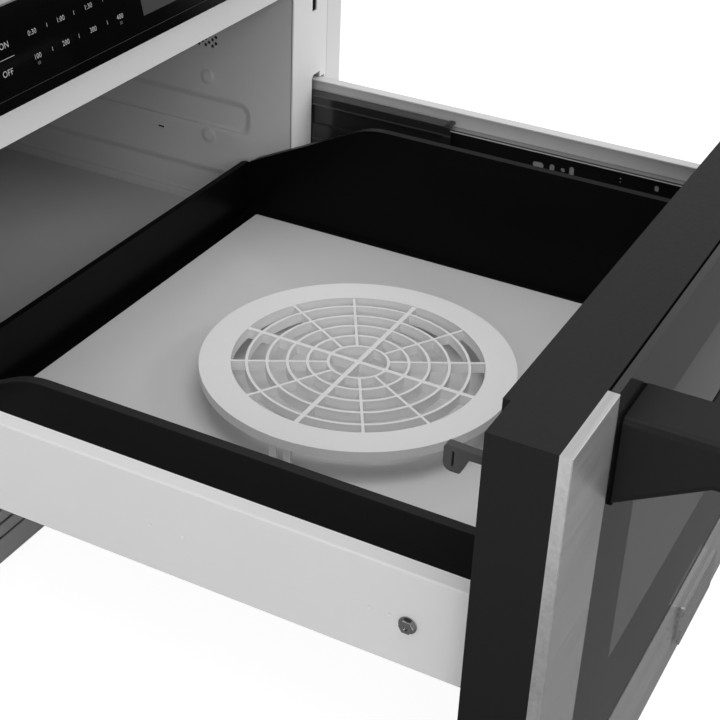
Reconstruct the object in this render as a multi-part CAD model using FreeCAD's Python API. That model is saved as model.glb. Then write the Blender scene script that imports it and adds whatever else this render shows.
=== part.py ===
import FreeCAD, Part
import os
from math import cos, pi, radians, sin, sqrt, tan

# A built-in drawer microwave oven, shown with its drawer pulled out.
# Millimetres. X runs left to right seen from the front, -Y is the front, +Z is up.
# The origin is the centre of the base plate's underside.

V = FreeCAD.Vector

# ---- driving sizes ----
TRAY_WIDTH = 425.4            # inside the tray
TRAY_DEPTH = 428.0
CAVITY_FLOOR = 94.0           # height of the cavity floor's upper face
CAVITY_HEIGHT = 207.0
PANEL_HEIGHT = 55.0           # control panel, top to bottom

# ---- case ----
CAVITY_GAP = 10.8             # tray's inner face to the cavity's wall
SLIDE_ROOM = 33.0             # cavity's wall to the middle slide's web
PANEL_PAST_SLIDE = 16.25      # that web to the outer face of a side panel
BODY_GAP = 5.25               # side panel's outer face to the wrapper's
FLANGE = 24.0                 # side trim past the front frame
CAVITY_PAST_TRAY = 10.0       # depth of the cavity over the tray's
REAR_ROOM = 105.0             # cavity's rear to the back of the rear panel
ROOF_ROOM = 70.0              # cavity's top to the top of the wrapper
BASE_SETBACK = 7.0            # base plate's front edge behind the front frame
SHEET = 1.0                   # wrapper and rear panel
BASE_SHEET = 1.2
BASE_FLANGE = 18.0
FRAME_SHEET = 1.2
FACE_BOTTOM = 5.3             # lower edge of grille and trims
GRILLE_BELOW_CAVITY = 12.0
GRILLE_SLOT = 2.4
GRILLE_PITCH = 11.3
GRILLE_ROWS = 5
GRILLE_FIRST = 24.0
GRILLE_SIDE_MARGIN = 28.0
GRILLE_BRIDGE = 12.0
GRILLE_FOOT = 17.0            # foot turned back over the base
FRAME_OVERLAP = 1.0           # front frame past the wrapper on each side
TRIM_SHEET = 1.5
TRIM_RETURN = 25.0
MOUNT_HOLE_R = 2.25
MOUNT_HOLE_LOW = 30.0
MOUNT_HOLE_DROP = 28.0        # upper hole below the control panel's lower edge
LOUVRE_LENGTH = 60.0
LOUVRE_HEIGHT = 4.0
LOUVRE_PITCH = 12.0
LOUVRE_ROWS = 6
LOUVRE_LEVEL = 204.0
LOUVRE_TO_REAR = 40.0
GUARD_PITCH = 10.0            # rows of slots in the rear panel
GUARD_BAR = 3.0
OUTLET_START = 20.0
OUTLET_WIDTH = 150.0
OUTLET_DROP = 40.0
OUTLET_ROWS = 6
INLET_R = 8.0
INLET_WALL = 3.0
INLET_INSET = 45.0            # from the wrapper's side
INLET_LEVEL = 40.0
INLET_DEPTH = 8.0
CASE_SCREW_INSET = 6.5
CASE_SCREW_SPREAD = 0.6       # share of half the body's width

# ---- cavity ----
LINER = 0.8
BEAD_DEPTH = 1.5              # stiffening beads pressed outwards in the side walls
BEAD_HEIGHT = 25.5
BEAD_RISES = (74.5, 8.0)      # lower edge of each bead above the cavity floor
BEAD_FRONT = 42.0             # bead's front end behind the front frame
BEAD_END = 30.0               # plain strip left at the rear
BEAD_RADIUS = 9.0
LAMP_HOLE_R = 1.5
LAMP_HOLE_STEP = 3.33         # between columns of holes
LAMP_HOLE_PITCH = 5.44        # between holes in a column
LAMP_COLUMNS = 7              # they hold three and four holes in turn
LAMP_BEHIND_FRONT = 83.7
LAMP_DROP = 52.7              # below the cavity's top
LAMP_SEAT = 16.0              # half the lamp's plate
LAMP_PLATE = 1.5
LAMP_R = 13.0
LAMP_DEPTH = 12.0
BOSS_R = 5.7                  # round bosses pressed inwards in the side walls
BOSS_HEIGHT = 0.8
BOSS_BACK = 82.0
BOSS_RISES = (118.3, 66.0)    # centres above the cavity floor
CLIP_SLOT_BACK = 128.0
CLIP_SLOT_RISE = 62.0
CLIP_SLOT_LENGTH = 6.0
CLIP_SLOT_HEIGHT = 1.6

# ---- control panel ----
PANEL_ABOVE_CAVITY = 47.0     # cavity's top to the panel's lower edge
PANEL_PROJECTION = 41.8       # glass's lower edge in front of the front frame
PANEL_TILT = 12.0             # degrees, top leaning back
PANEL_GLASS = 3.0
HOUSING_WALL = 2.5
DISPLAY_WIDTH = 68.0
DISPLAY_LOW = 15.6            # along the glass from its lower edge
DISPLAY_HEIGHT = 22.0
DISPLAY_GAP = 0.15
DISPLAY_LIP = 2.0
BOARD_SHORTER = 15.0          # board's height under the panel's
BOARD_WIDTH = 400.0
BOARD_T = 1.6
BOARD_BEHIND = 2.4            # behind the housing's front wall

# ---- drawer ----
TRAY_STAYS = 37.0             # tray left behind the frame's face when open
CLOSED_GAP = 0.3              # choke cover to front frame when shut
GLASS_RISE = 12.0             # floor glass's upper face above the cavity floor
TRAY_WALL = 1.2
TRAY_SIDE_HEIGHT = 99.7       # above the floor glass
TRAY_END_HEIGHT = 43.9
TRAY_SLOPE = 26.4             # degrees, the side wall's rear run
TRAY_KNEE_R = 60.0
RIM_WIDTH = 6.5
REAR_RIM = 5.0
FLOOR_GLASS = 5.0
LEDGE_SIDE = 4.4
LEDGE_END = 11.5
LEDGE_DROP = 1.2              # ledge under the glass's face
GLASS_GROOVE = 0.8
GLASS_CORNER = 2.0
TRAY_EDGE_R = 8.2             # bottom edges, outside
RIM_END_GAP = 6.5             # rim stops short of the rear wall
FOLD_LENGTH = 5.4             # rear wall's ends folded forward inside the side walls
FOLD_RISE = 8.0               # their lower edge above the floor glass
NOTCH = 1.5                   # notch at the top of each rear corner
REAR_RIM_CORNER = 2.5
PIP_R = 1.2                   # weld pips beside the rear corners
PIP_OUT = 0.6
SIDE_PIP_BACK = 17.2
SIDE_PIP_RISE = 15.7
REAR_PIP_INSET = 4.0
REAR_PIP_RISE = 28.3
TAB_LENGTH = 5.6              # tab pressed inwards near each rear corner
TAB_HEIGHT = 10.5
TAB_OUT = 1.0
TAB_FROM_REAR = 24.0
TAB_RISE = 24.4

# ---- side panels and slides ----
SIDE_PANEL_RISE = 47.6        # lower edge above the floor glass
SIDE_PANEL_HEIGHT = 61.0
SIDE_PANEL_FLANGE = 10.0
SIDE_PANEL_SHORTER = 0.5      # than the tray's depth
DIMPLE_R = 1.3                # pressed dots on a side panel's outer face
DIMPLE_DEPTH = 0.5
DIMPLE_RISE = 30.4            # above the panel's lower edge
DIMPLES_BACK = (48.5, 59.7, 170.9, 192.1)
SLIDE_SHEET = 1.5
SLIDE_GAP = 1.5               # between nested slide members
CASE_RAIL_LONGER = 22.0       # than the tray's depth
CASE_RAIL_FRONT = 13.0        # behind the front frame
MIDDLE_RAIL_SHORTER = 88.0
MIDDLE_RAIL_OUT = 127.0       # stands out of the case when open
DRAWER_RAIL_SHORTER = 30.0
MIDDLE_RISE = 1.4             # heights above the side panel's lower edge
MIDDLE_TOP_RISE = 49.9
RECESS_RISE = 24.6            # pressed-back strip of the middle rail's web
RECESS_TOP_RISE = 41.2
DRAWER_RAIL_RISE = 7.4
DRAWER_RAIL_TOP_RISE = 44.5
RAIL_STEP = 2.0               # pressed step of the middle rail's web
MIDDLE_LIP = 11.0
MIDDLE_BEND_R = 0.7
CASE_LIP = 8.5
DRAWER_LIP = 10.5
STOP_LENGTH = 7.0
STOP_CAP_LENGTH = 4.2
STOP_T = 0.8
STOP_CAP = 0.8
STOP_TAIL = 16.0
STOP_TAIL_LEAN = 2.0
STOP_SHOULDER = 4.0
RIVET_R = 1.3
RIVET_OUT = 0.8
RIVETS_BACK = (64.0, 59.0, 9.3)
RIVET_RISES = (12.7, 8.6, 9.2)
RAIL_HOLES_BACK = (191.4, 179.5, 170.3, 162.9, 122.4, 122.4, 92.7)   # behind the choke cover
RAIL_HOLE_RISES = (21.8, 21.9, 22.4, 22.8, 27.0, 24.0, 25.7)         # above the drawer rail's edge
RAIL_HOLE_RADII = (2.8, 2.2, 1.9, 2.1, 0.8, 0.8, 1.8)
RAIL_HOLE_RUNS = (4.0, 0.0, 0.0, 0.0, 0.0, 0.0, 0.0)                 # how far a hole is drawn out
RAIL_HOLE_HEIGHTS = (0.0, 2.4, 0.0, 4.2, 0.0, 0.0, 1.6)
BRACKET_SHEET = 1.2
BRACKET_FOOT = 20.0
BRACKET_LONGER = 2.0          # than the case rail
BRACKET_FRONT = 18.0
BRACKET_OVER = 6.0            # above the case rail
SLOT_CLEAR = 2.7              # slots in the front frame round panel and slides
SLOT_SIDE_CLEAR = 3.45        # lets the screw heads pass
SLOT_TOP_CLEAR = 5.9
SLOT_LOW_TOP = 1.0            # over the panel's outer part
SLOT_STEP = 13.8
SLOT_GAP = 0.5
SLOT_CORNER = 4.5
SCREW_R = 2.0
SCREW_WASHER_R = 5.1
SCREW_HEX = 7.0               # across flats
SCREW_HEAD = 3.0
SCREW_WASHER = 0.7
SCREW_LENGTH = 5.0
PANEL_SCREW_BACK = 38.4       # behind the choke cover
PANEL_SCREW_RISE = 28.3

# ---- drive ----
GEAR_MODULE = 1.5
PINION_TEETH = 16
PRESSURE_ANGLE = 20.0
BACKLASH = 0.16               # taken off each flank's pair
RACK_BACK = 6.5
RACK_WIDTH = 8.5
TEETH_BEHIND = 3              # rack teeth behind the pinion when open
TEETH_SPARE = 4               # rack teeth past the pinion when shut
RACK_SIDE_GAP = 0.25
PINION_BEHIND_FRONT = 18.2
SHAFT_R = 3.0
RUNNING_FIT = 0.05
GEARBOX_LENGTH = 74.0
GEARBOX_HEIGHT = 58.0
GEARBOX_FRONT = 10.0          # in front of the pinion's shaft
MOTOR_R = 11.5
MOTOR_LENGTH = 46.0
PINION_SHAFT_IN = 18.0

# ---- door ----
DOOR_BOTTOM = 1.5
DOOR_TOP_GAP = 17.7           # under the control panel
CHOKE_T = 3.8
CHOKE_MARGIN = 28.0           # choke cover's edge inside the door's side
DOOR_BODY_T = 33.7
DOOR_WALL = 3.0
DOOR_FRONT_WALL = 4.0
DOOR_FRAME_T = 6.0
STILE_WIDTH = 58.0
RAIL_HEIGHT = 66.4
DOOR_GLASS_T = 4.0
GLASS_STANDOFF = 1.4          # glass held off the body by a raised seat
GLASS_SEAT_INSET = 8.0        # seat inside the glass's edges
GLASS_FIT = 0.3
WINDOW_INSET = 112.0          # from the door's side
WINDOW_LOW = 129.5            # above the door's lower edge
WINDOW_DROP = 52.8            # below its upper edge
SCREEN_T = 1.0
SCREEN_MARGIN = 9.0
INNER_PANE = 3.0
INNER_PANE_SUNK = 0.5
BADGE_WIDTH = 69.4
BADGE_HEIGHT = 31.2
BADGE_LEVEL = 18.9            # above the door's lower edge
BADGE_T = 2.7
BADGE_SEAT = 2.0              # seat that holds the plate off the frame
BADGE_SEAT_INSET = 1.5
BADGE_CORNER = 1.5
FRAME_EDGE = 0.8

# ---- handle ----
POST_INSET = 65.5             # from the door's side
POST_WIDTH = 34.5
POST_HEIGHT = 49.1
POST_DROP = 17.1              # below the door's upper edge
HANDLE_REACH = 57.0           # in front of the door frame
BAR_DEPTH = 26.8
POST_NOSE = 11.8              # flat under the post's front
BAR_HEIGHT = 24.8
GASKET_T = 1.2
GASKET_LIP = 1.0
GASKET_CORNER = 4.5
POST_ROUND = 3.0
POST_EDGE = 4.0
BAR_ROUND = 5.0

# ---- latch hooks ----
HOOK_PAST_CAVITY = 34.0       # from the cavity's wall
HOOK_T = 5.0
HOOK_DROP = 18.0              # pivot below the cavity's top
HOOK_PIVOT_IN = 23.5          # pivot in front of the choke cover's face
HOOK_REACH = 32.1             # nose tip behind the choke cover's face
HOOK_BOSS_R = 5.0
HOOK_ARM_TOP = 2.4            # above and below the pivot
HOOK_ARM_BOTTOM = 2.3
HOOK_NOSE_RISE = 3.0
HOOK_NOSE_DROP = 11.5
HOOK_NOSE_LENGTH = 9.0
HOOK_NOSE_LEAN = 3.8
HOOK_SLOT = 1.2
HOOK_SLOT_HEIGHT = 8.4
HOOK_SLOT_BEHIND = 5.6
HOOK_SIDE_GAP = 1.2
HOOK_PIN_R = 2.0
POCKET_HEIGHT = 40.0
LATCH_SLOT_DROP = 25.4        # slot's lower edge below the cavity's top
LATCH_SLOT_RISE = 3.0         # its upper edge above it
LUG_T = 5.0
LUG_HEIGHT = 18.0
PLUNGER_R = 2.0
PLUNGER_LENGTH = 12.0
PLUNGER_GAP = 0.5
PLUNGER_TRAVEL = 2.0
SWITCH_CLEAR = 1.0
LATCH_BOARD_WALL = 6.0
LATCH_BOARD_LENGTH = 55.0
LATCH_BOARD_HEIGHT = 58.0

# ---- microwave source, stirrer, power parts, fan ----
GUIDE_WIDTH = 96.0
GUIDE_HEIGHT = 40.0
GUIDE_SHEET = 1.0
STIRRER_R = 62.0
STIRRER_BLADE = 1.2
STIRRER_BLADES = 4
STIRRER_PITCH = 9.0           # degrees
STIRRER_OVER_COVER = 9.0
STIRRER_HUB_R = 9.0
CHAMBER_R = 76.0
COVER_T = 1.5
CHAMBER_HOLE_R = 70.0
COVER_LIP = 3.0
STIRRER_MOTOR_R = 17.0
STIRRER_MOTOR_H = 22.0
STIRRER_MOTOR_EAR = 8.0
MAGNETRON_WIDTH = 90.0
MAGNETRON_DEPTH = 74.0
MAGNETRON_HEIGHT = 88.0
MAGNETRON_X = -40.0
MAGNETRON_CORE_R = 20.0
MAGNETRON_YOKE = 2.0
ANTENNA_R = 9.0
ANTENNA_HEIGHT = 22.0
FILTER_HEIGHT = 26.0
FIN_COUNT = 7
FIN_T = 1.0
CORE_WIDTH = 96.0
CORE_DEPTH = 64.0
CORE_TO_REAR = 17.5
CORE_HEIGHT = 82.0
TRANSFORMER_FROM_SIDE = 158.0 # transformer's centre from the wrapper's right side
CAPACITOR_X = -30.0
CAPACITOR_TO_REAR = 45.0
CAPACITOR_WIDTH = 52.0
CAPACITOR_DEPTH = 32.0
CAPACITOR_HEIGHT = 92.0
CAPACITOR_ROUND = 15.0
TERMINAL_R = 4.0
TERMINAL_HEIGHT = 8.0
FAN_SIZE = 112.0
FAN_R = 50.0
FAN_DEPTH = 30.0
FAN_FROM_SIDE = 108.0         # fan's centre from the wrapper's left side
FAN_LEVEL = 150.0
FAN_BLADES = 5
FAN_BLADE_T = 1.6
FAN_BLADE_DEPTH = 18.0
FAN_BLADE_PITCH = 28.0        # degrees
FAN_HUB_R = 14.0
FAN_ARM = 10.0
FAN_ARM_T = 4.0
FAN_MOTOR_R = 17.0
FAN_MOTOR_LENGTH = 26.0
FAN_SHAFT_IN = 21.0

# ---- round cooking rack ----
RACK_R = 110.0
RACK_STAND = 27.0
RACK_OPENING = 0.80           # share of the radius
RACK_RINGS = (0.191, 0.320, 0.447, 0.574, 0.702)
RACK_RIB = 2.0
RACK_RIB_DEPTH = 8.5
RACK_RIB_SUNK = 1.0
RACK_MAIN_RIB = 3.4
RACK_RING_T = 2.6
RACK_WALL = 2.4
RACK_SKIRT = 7.0
RACK_SPOKES = 12
RACK_LEG_W = 16.0
RACK_LEG_T = 2.4
RACK_LEG_FOOT = 5.0
RACK_LEGS = 4
RACK_CENTRE_X = 5.0           # it stands a little right of the tray's middle
RACK_FORWARD = 2.5            # and forward of it

# ---- places worked out from the sizes ----
HALF_TRAY = TRAY_WIDTH / 2
HALF_CAVITY = HALF_TRAY + CAVITY_GAP
MIDDLE_WEB_X = HALF_CAVITY + SLIDE_ROOM           # inner face of the middle rail's web
PANEL_OUT = MIDDLE_WEB_X + PANEL_PAST_SLIDE       # outer face of a side panel
PANEL_IN = PANEL_OUT - SHEET
HALF_BODY = PANEL_OUT + BODY_GAP
HALF_FRAME = HALF_BODY + FRAME_OVERLAP
HALF_FACE = HALF_FRAME + FLANGE

CAVITY_DEPTH = TRAY_DEPTH + CAVITY_PAST_TRAY
BODY_DEPTH = CAVITY_DEPTH + REAR_ROOM             # front frame's face to the rear panel's
TRAVEL = TRAY_DEPTH - TRAY_STAYS
FRONT = -(BODY_DEPTH + BASE_SETBACK) / 2          # front frame's face
REAR = FRONT + BODY_DEPTH
CAVITY_FRONT = FRONT + FRAME_SHEET
CAVITY_REAR = FRONT + CAVITY_DEPTH
CHOKE_FACE = FRONT - TRAVEL - CLOSED_GAP          # door's rear face with the drawer open
TRAY_REAR = CHOKE_FACE + TRAY_DEPTH
BODY_BACK = CHOKE_FACE - CHOKE_T
BODY_FACE = BODY_BACK - DOOR_BODY_T
DOOR_FACE = BODY_FACE - DOOR_FRAME_T
GLASS_BACK = BODY_FACE - GLASS_STANDOFF
GLASS_FACE = GLASS_BACK - DOOR_GLASS_T

CAVITY_TOP = CAVITY_FLOOR + CAVITY_HEIGHT
BODY_HEIGHT = CAVITY_TOP + ROOF_ROOM
PANEL_BOTTOM = CAVITY_TOP + PANEL_ABOVE_CAVITY
FACE_HEIGHT = PANEL_BOTTOM + PANEL_HEIGHT
GRILLE_TOP = CAVITY_FLOOR - GRILLE_BELOW_CAVITY
MOUNT_HOLE_HIGH = PANEL_BOTTOM - MOUNT_HOLE_DROP
LAMP_LEVEL = CAVITY_TOP - LAMP_DROP
DOOR_TOP = PANEL_BOTTOM - DOOR_TOP_GAP
RAIL_TOP = DOOR_BOTTOM + RAIL_HEIGHT
WINDOW_BOTTOM = DOOR_BOTTOM + WINDOW_LOW
WINDOW_TOP = DOOR_TOP - WINDOW_DROP
POST_TOP = DOOR_TOP - POST_DROP
HOOK_LEVEL = CAVITY_TOP - HOOK_DROP
LATCH_SLOT_LOW = CAVITY_TOP - LATCH_SLOT_DROP
LATCH_SLOT_HIGH = CAVITY_TOP + LATCH_SLOT_RISE

GLASS_LEVEL = CAVITY_FLOOR + GLASS_RISE
TRAY_TOP = GLASS_LEVEL + TRAY_SIDE_HEIGHT
TRAY_END = GLASS_LEVEL + TRAY_END_HEIGHT
LEDGE = GLASS_LEVEL - LEDGE_DROP
SIDE_PANEL_BOTTOM = GLASS_LEVEL + SIDE_PANEL_RISE
SIDE_PANEL_TOP = SIDE_PANEL_BOTTOM + SIDE_PANEL_HEIGHT
PANEL_SCREW_LEVEL = SIDE_PANEL_BOTTOM + PANEL_SCREW_RISE
MIDDLE_LOW = SIDE_PANEL_BOTTOM + MIDDLE_RISE
MIDDLE_HIGH = SIDE_PANEL_BOTTOM + MIDDLE_TOP_RISE
RECESS_LOW = SIDE_PANEL_BOTTOM + RECESS_RISE
RECESS_HIGH = SIDE_PANEL_BOTTOM + RECESS_TOP_RISE
DRAWER_RAIL_LOW = SIDE_PANEL_BOTTOM + DRAWER_RAIL_RISE
DRAWER_RAIL_HIGH = SIDE_PANEL_BOTTOM + DRAWER_RAIL_TOP_RISE
CASE_RAIL_LOW = MIDDLE_LOW - SLIDE_GAP - SLIDE_SHEET
CASE_RAIL_HIGH = MIDDLE_HIGH + SLIDE_GAP + SLIDE_SHEET
CASE_RAIL_WEB = MIDDLE_WEB_X - SLIDE_GAP - SLIDE_SHEET
BRACKET_X = CASE_RAIL_WEB - BRACKET_SHEET
CASE_RAIL_LENGTH = TRAY_DEPTH + CASE_RAIL_LONGER

PITCH = pi * GEAR_MODULE
RACK_TEETH = int(TRAVEL / PITCH) + TEETH_BEHIND + TEETH_SPARE
PINION_R = GEAR_MODULE * PINION_TEETH / 2
RACK_ROOT = SIDE_PANEL_BOTTOM - RACK_BACK
PITCH_LINE = RACK_ROOT - 1.25 * GEAR_MODULE
PINION_Z = PITCH_LINE - PINION_R
PINION_Y = FRONT + PINION_BEHIND_FRONT
RACK_X = PANEL_IN - RACK_SIDE_GAP - RACK_WIDTH

HOOK_X = HALF_CAVITY + HOOK_PAST_CAVITY
PIVOT_Y = CHOKE_FACE - HOOK_PIVOT_IN
HOOK_TIP = CHOKE_FACE + HOOK_REACH
PLUNGER_TIP = HOOK_TIP + TRAVEL + PLUNGER_GAP
PLUNGER_LEVEL = HOOK_LEVEL - HOOK_NOSE_DROP / 2
SWITCH_FRONT = PLUNGER_TIP + PLUNGER_TRAVEL + SWITCH_CLEAR

PANEL_LENGTH = PANEL_HEIGHT / cos(radians(PANEL_TILT))
FAN_X = FAN_FROM_SIDE - HALF_BODY
TRANSFORMER_X = HALF_BODY - TRANSFORMER_FROM_SIDE
GUIDE_BOTTOM = CAVITY_TOP + LINER
CHAMBER_Y = (CAVITY_FRONT + CAVITY_REAR) / 2
MAGNETRON_Y = (CAVITY_REAR + REAR) / 2
RACK_CENTRE_Y = CHOKE_FACE + TRAY_DEPTH / 2 - RACK_FORWARD


# ---- small helpers ----
def box(x0, x1, y0, y1, z0, z1):
    return Part.makeBox(x1 - x0, y1 - y0, z1 - z0, V(x0, y0, z0))


def rod(radius, start, end):
    axis = end - start
    return Part.makeCylinder(radius, axis.Length, start, axis)


def outline(points, place):
    """Closed wire through (u, v) or (u, v, radius) corners; place turns u, v into a vector."""
    count = len(points)
    starts, ends, arcs = [], [], []
    for i, corner in enumerate(points):
        p = V(corner[0], corner[1], 0)
        radius = corner[2] if len(corner) > 2 else 0.0
        before = V(points[i - 1][0], points[i - 1][1], 0) - p
        after = V(points[(i + 1) % count][0], points[(i + 1) % count][1], 0) - p
        if radius <= 0:
            starts.append(p)
            ends.append(p)
            arcs.append(None)
            continue
        a, b = V(before), V(after)
        a.normalize()
        b.normalize()
        half = a.getAngle(b) / 2
        reach = radius / tan(half)
        middle = a + b
        middle.normalize()
        centre = p + middle * (radius / sin(half))
        starts.append(p + a * reach)
        ends.append(p + b * reach)
        arcs.append(centre - middle * radius)
    edges = []
    for i in range(count):
        if arcs[i] is not None:
            edges.append(Part.Arc(place(starts[i]), place(arcs[i]), place(ends[i])).toShape())
        nxt = (i + 1) % count
        if (starts[nxt] - ends[i]).Length > 1e-6:
            edges.append(Part.LineSegment(place(ends[i]), place(starts[nxt])).toShape())
    return Part.Wire(edges)


def slab_x(points, x0, x1):
    """Corners are (y, z); the slab runs from x0 to x1."""
    wire = outline(points, lambda p: V(x0, p.x, p.y))
    return Part.Face(wire).extrude(V(x1 - x0, 0, 0))


def slab_y(points, y0, y1):
    """Corners are (x, z); the slab runs from y0 to y1."""
    wire = outline(points, lambda p: V(p.x, y0, p.y))
    return Part.Face(wire).extrude(V(0, y1 - y0, 0))


def slab_z(points, z0, z1):
    """Corners are (x, y); the slab runs from z0 to z1."""
    wire = outline(points, lambda p: V(p.x, p.y, z0))
    return Part.Face(wire).extrude(V(0, 0, z1 - z0))


def rectangle(u0, u1, v0, v1, radius=0.0):
    return [(u0, v0, radius), (u1, v0, radius), (u1, v1, radius), (u0, v1, radius)]


def mirrored(shape):
    return shape.mirror(V(0, 0, 0), V(1, 0, 0))


def joined(shapes):
    return shapes[0].fuse(shapes[1:]).removeSplitter()


def both_sides(name, shape, parts):
    """The shape is the right-hand one; its mirror image is the left-hand one."""
    parts[name + "_right"] = shape
    parts[name + "_left"] = mirrored(shape)


# ---- case ----
def base_plate():
    edge = HALF_BODY - SHEET
    floor = box(-edge, edge, FRONT + BASE_SETBACK, REAR, 0, BASE_SHEET)
    pieces = [floor]
    for side in (-1, 1):
        inner = side * (edge - BASE_SHEET)
        pieces.append(box(min(inner, side * edge), max(inner, side * edge),
                          FRONT + BASE_SETBACK, REAR - SHEET, 0, BASE_FLANGE))
    return joined(pieces)


def outer_wrapper():
    front = FRONT + FRAME_SHEET
    back = REAR - SHEET
    shell = box(-HALF_BODY, HALF_BODY, front, back, 0, BODY_HEIGHT)
    inside = box(-HALF_BODY + SHEET, HALF_BODY - SHEET, front - 1, back + 1, -1, BODY_HEIGHT - SHEET)
    shell = shell.cut(inside)
    y1 = back - LOUVRE_TO_REAR
    for row in range(LOUVRE_ROWS):
        z = LOUVRE_LEVEL + row * LOUVRE_PITCH
        shell = shell.cut(box(-HALF_BODY - 1, HALF_BODY + 1, y1 - LOUVRE_LENGTH, y1, z, z + LOUVRE_HEIGHT))
    return shell


def inlet_centre():
    return V(HALF_BODY - INLET_INSET, REAR - SHEET, INLET_LEVEL)


def rear_panel():
    plate = box(-HALF_BODY, HALF_BODY, REAR - SHEET, REAR, BASE_SHEET, BODY_HEIGHT)
    slot = GUARD_PITCH - GUARD_BAR
    for row in range(int(2 * FAN_R / GUARD_PITCH)):
        z = FAN_LEVEL - FAN_R + (row + 0.5) * GUARD_PITCH
        half = sqrt(max(FAN_R ** 2 - (abs(z - FAN_LEVEL) + slot / 2) ** 2, 0))
        if half > GUARD_PITCH:
            plate = plate.cut(box(FAN_X - half, FAN_X + half, REAR - SHEET - 1, REAR + 1,
                                  z - slot / 2, z + slot / 2))
    for row in range(OUTLET_ROWS):
        z = BODY_HEIGHT - OUTLET_DROP - row * GUARD_PITCH
        plate = plate.cut(box(OUTLET_START, OUTLET_START + OUTLET_WIDTH, REAR - SHEET - 1, REAR + 1,
                              z, z + slot))
    hole = inlet_centre()
    plate = plate.cut(rod(INLET_R, hole - V(0, 1, 0), hole + V(0, SHEET + 1, 0)))
    for centre in rear_screw_places():
        plate = plate.cut(rod(SCREW_R + 0.2, centre - V(0, SHEET + 1, 0), centre + V(0, 1, 0)))
    return plate


def rear_screw_places():
    places = []
    for side in (-1, 0, 1):
        x = side * HALF_BODY * CASE_SCREW_SPREAD
        places.append(V(x, REAR, BODY_HEIGHT - CASE_SCREW_INSET))
        places.append(V(x, REAR, CASE_SCREW_INSET))
    return places


def case_screws():
    screws = []
    for centre in rear_screw_places():
        head = Part.makeSphere(SCREW_WASHER_R, centre - V(0, SCREW_WASHER_R * 0.62, 0))
        reach = 2 * SCREW_WASHER_R
        head = head.common(box(centre.x - reach, centre.x + reach, REAR, REAR + reach,
                               centre.z - reach, centre.z + reach))
        screws.append(head.fuse(rod(SCREW_R, centre - V(0, SCREW_LENGTH, 0), centre + V(0, 0.5, 0))))
    return Part.makeCompound(screws)


def slide_slot(y0, y1):
    """Opening in the front frame for one side panel, its slides and the gear rack."""
    inner = MIDDLE_WEB_X - STOP_T - SLOT_GAP
    outer = PANEL_OUT + SLOT_SIDE_CLEAR
    low = PITCH_LINE - GEAR_MODULE - SLOT_CLEAR
    step = inner + SLOT_STEP
    high, step_high = SIDE_PANEL_TOP + SLOT_TOP_CLEAR, SIDE_PANEL_TOP + SLOT_LOW_TOP
    corners = [(inner, low), (outer, low), (outer, step_high), (step, step_high),
               (step, high), (inner, high, SLOT_CORNER)]
    return slab_y(corners, y0, y1)


def latch_slot(y0, y1):
    half = HOOK_T / 2 + HOOK_SIDE_GAP
    return box(HOOK_X - half, HOOK_X + half, y0, y1, LATCH_SLOT_LOW, LATCH_SLOT_HIGH)


def front_frame():
    back = FRONT + FRAME_SHEET
    plate = box(-HALF_FRAME, HALF_FRAME, FRONT, back, GRILLE_TOP, FACE_HEIGHT - HOUSING_WALL)
    opening = slab_y(rectangle(-HALF_CAVITY, HALF_CAVITY, CAVITY_FLOOR, CAVITY_TOP, 2.0),
                     FRONT - 1, back + 1)
    plate = plate.cut(opening)
    for cutter in (slide_slot(FRONT - 1, back + 1), latch_slot(FRONT - 1, back + 1)):
        plate = plate.cut(cutter).cut(mirrored(cutter))
    return plate


def vent_grille():
    plate = box(-HALF_FRAME, HALF_FRAME, FRONT, FRONT + FRAME_SHEET, FACE_BOTTOM, GRILLE_TOP)
    edge = HALF_FRAME - GRILLE_SIDE_MARGIN
    for row in range(GRILLE_ROWS):
        z = GRILLE_FIRST + row * GRILLE_PITCH
        for x0, x1 in ((-edge, -GRILLE_BRIDGE / 2), (GRILLE_BRIDGE / 2, edge)):
            plate = plate.cut(box(x0, x1, FRONT - 1, FRONT + FRAME_SHEET + 1, z, z + GRILLE_SLOT))
    inside = HALF_BODY - SHEET - BASE_SHEET
    foot = box(-inside, inside, FRONT + FRAME_SHEET, FRONT + GRILLE_FOOT,
               FACE_BOTTOM, FACE_BOTTOM + FRAME_SHEET)
    return joined([plate, foot])


def side_trim():
    top = PANEL_BOTTOM
    face = box(HALF_FRAME, HALF_FACE, FRONT, FRONT + TRIM_SHEET, FACE_BOTTOM, top)
    back = box(HALF_BODY, HALF_BODY + TRIM_SHEET, FRONT + TRIM_SHEET, FRONT + TRIM_RETURN,
               FACE_BOTTOM, top)
    x = (HALF_FRAME + HALF_FACE) / 2
    trim = joined([face, back])
    for z in (MOUNT_HOLE_LOW, MOUNT_HOLE_HIGH):
        trim = trim.cut(rod(MOUNT_HOLE_R, V(x, FRONT - 1, z), V(x, FRONT + TRIM_SHEET + 1, z)))
    return trim


# ---- cavity ----
def side_bead(level, depth, wall):
    """A bead pressed outwards in the right-hand wall; depth from the inner face."""
    y0 = FRONT + BEAD_FRONT
    y1 = CAVITY_REAR - BEAD_END
    corners = rectangle(y0 - wall, y1 + wall, level - wall, level + BEAD_HEIGHT + wall, BEAD_RADIUS)
    return slab_x(corners, HALF_CAVITY, HALF_CAVITY + depth)


def lamp_hole_places():
    """(y, z) of the staggered holes in front of the cavity lamp."""
    places = []
    for column in range(LAMP_COLUMNS):
        y = FRONT + LAMP_BEHIND_FRONT + (column - (LAMP_COLUMNS - 1) / 2) * LAMP_HOLE_STEP
        holes = 3 + column % 2
        for row in range(holes):
            places.append((y, LAMP_LEVEL + (row - (holes - 1) / 2) * LAMP_HOLE_PITCH))
    return places


def side_boss(rise, radius, x0, x1):
    """A disc on the right-hand wall, for a boss or the pocket behind it."""
    y, z = FRONT + BOSS_BACK, CAVITY_FLOOR + rise
    return rod(radius, V(x0, y, z), V(x1, y, z))


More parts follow.
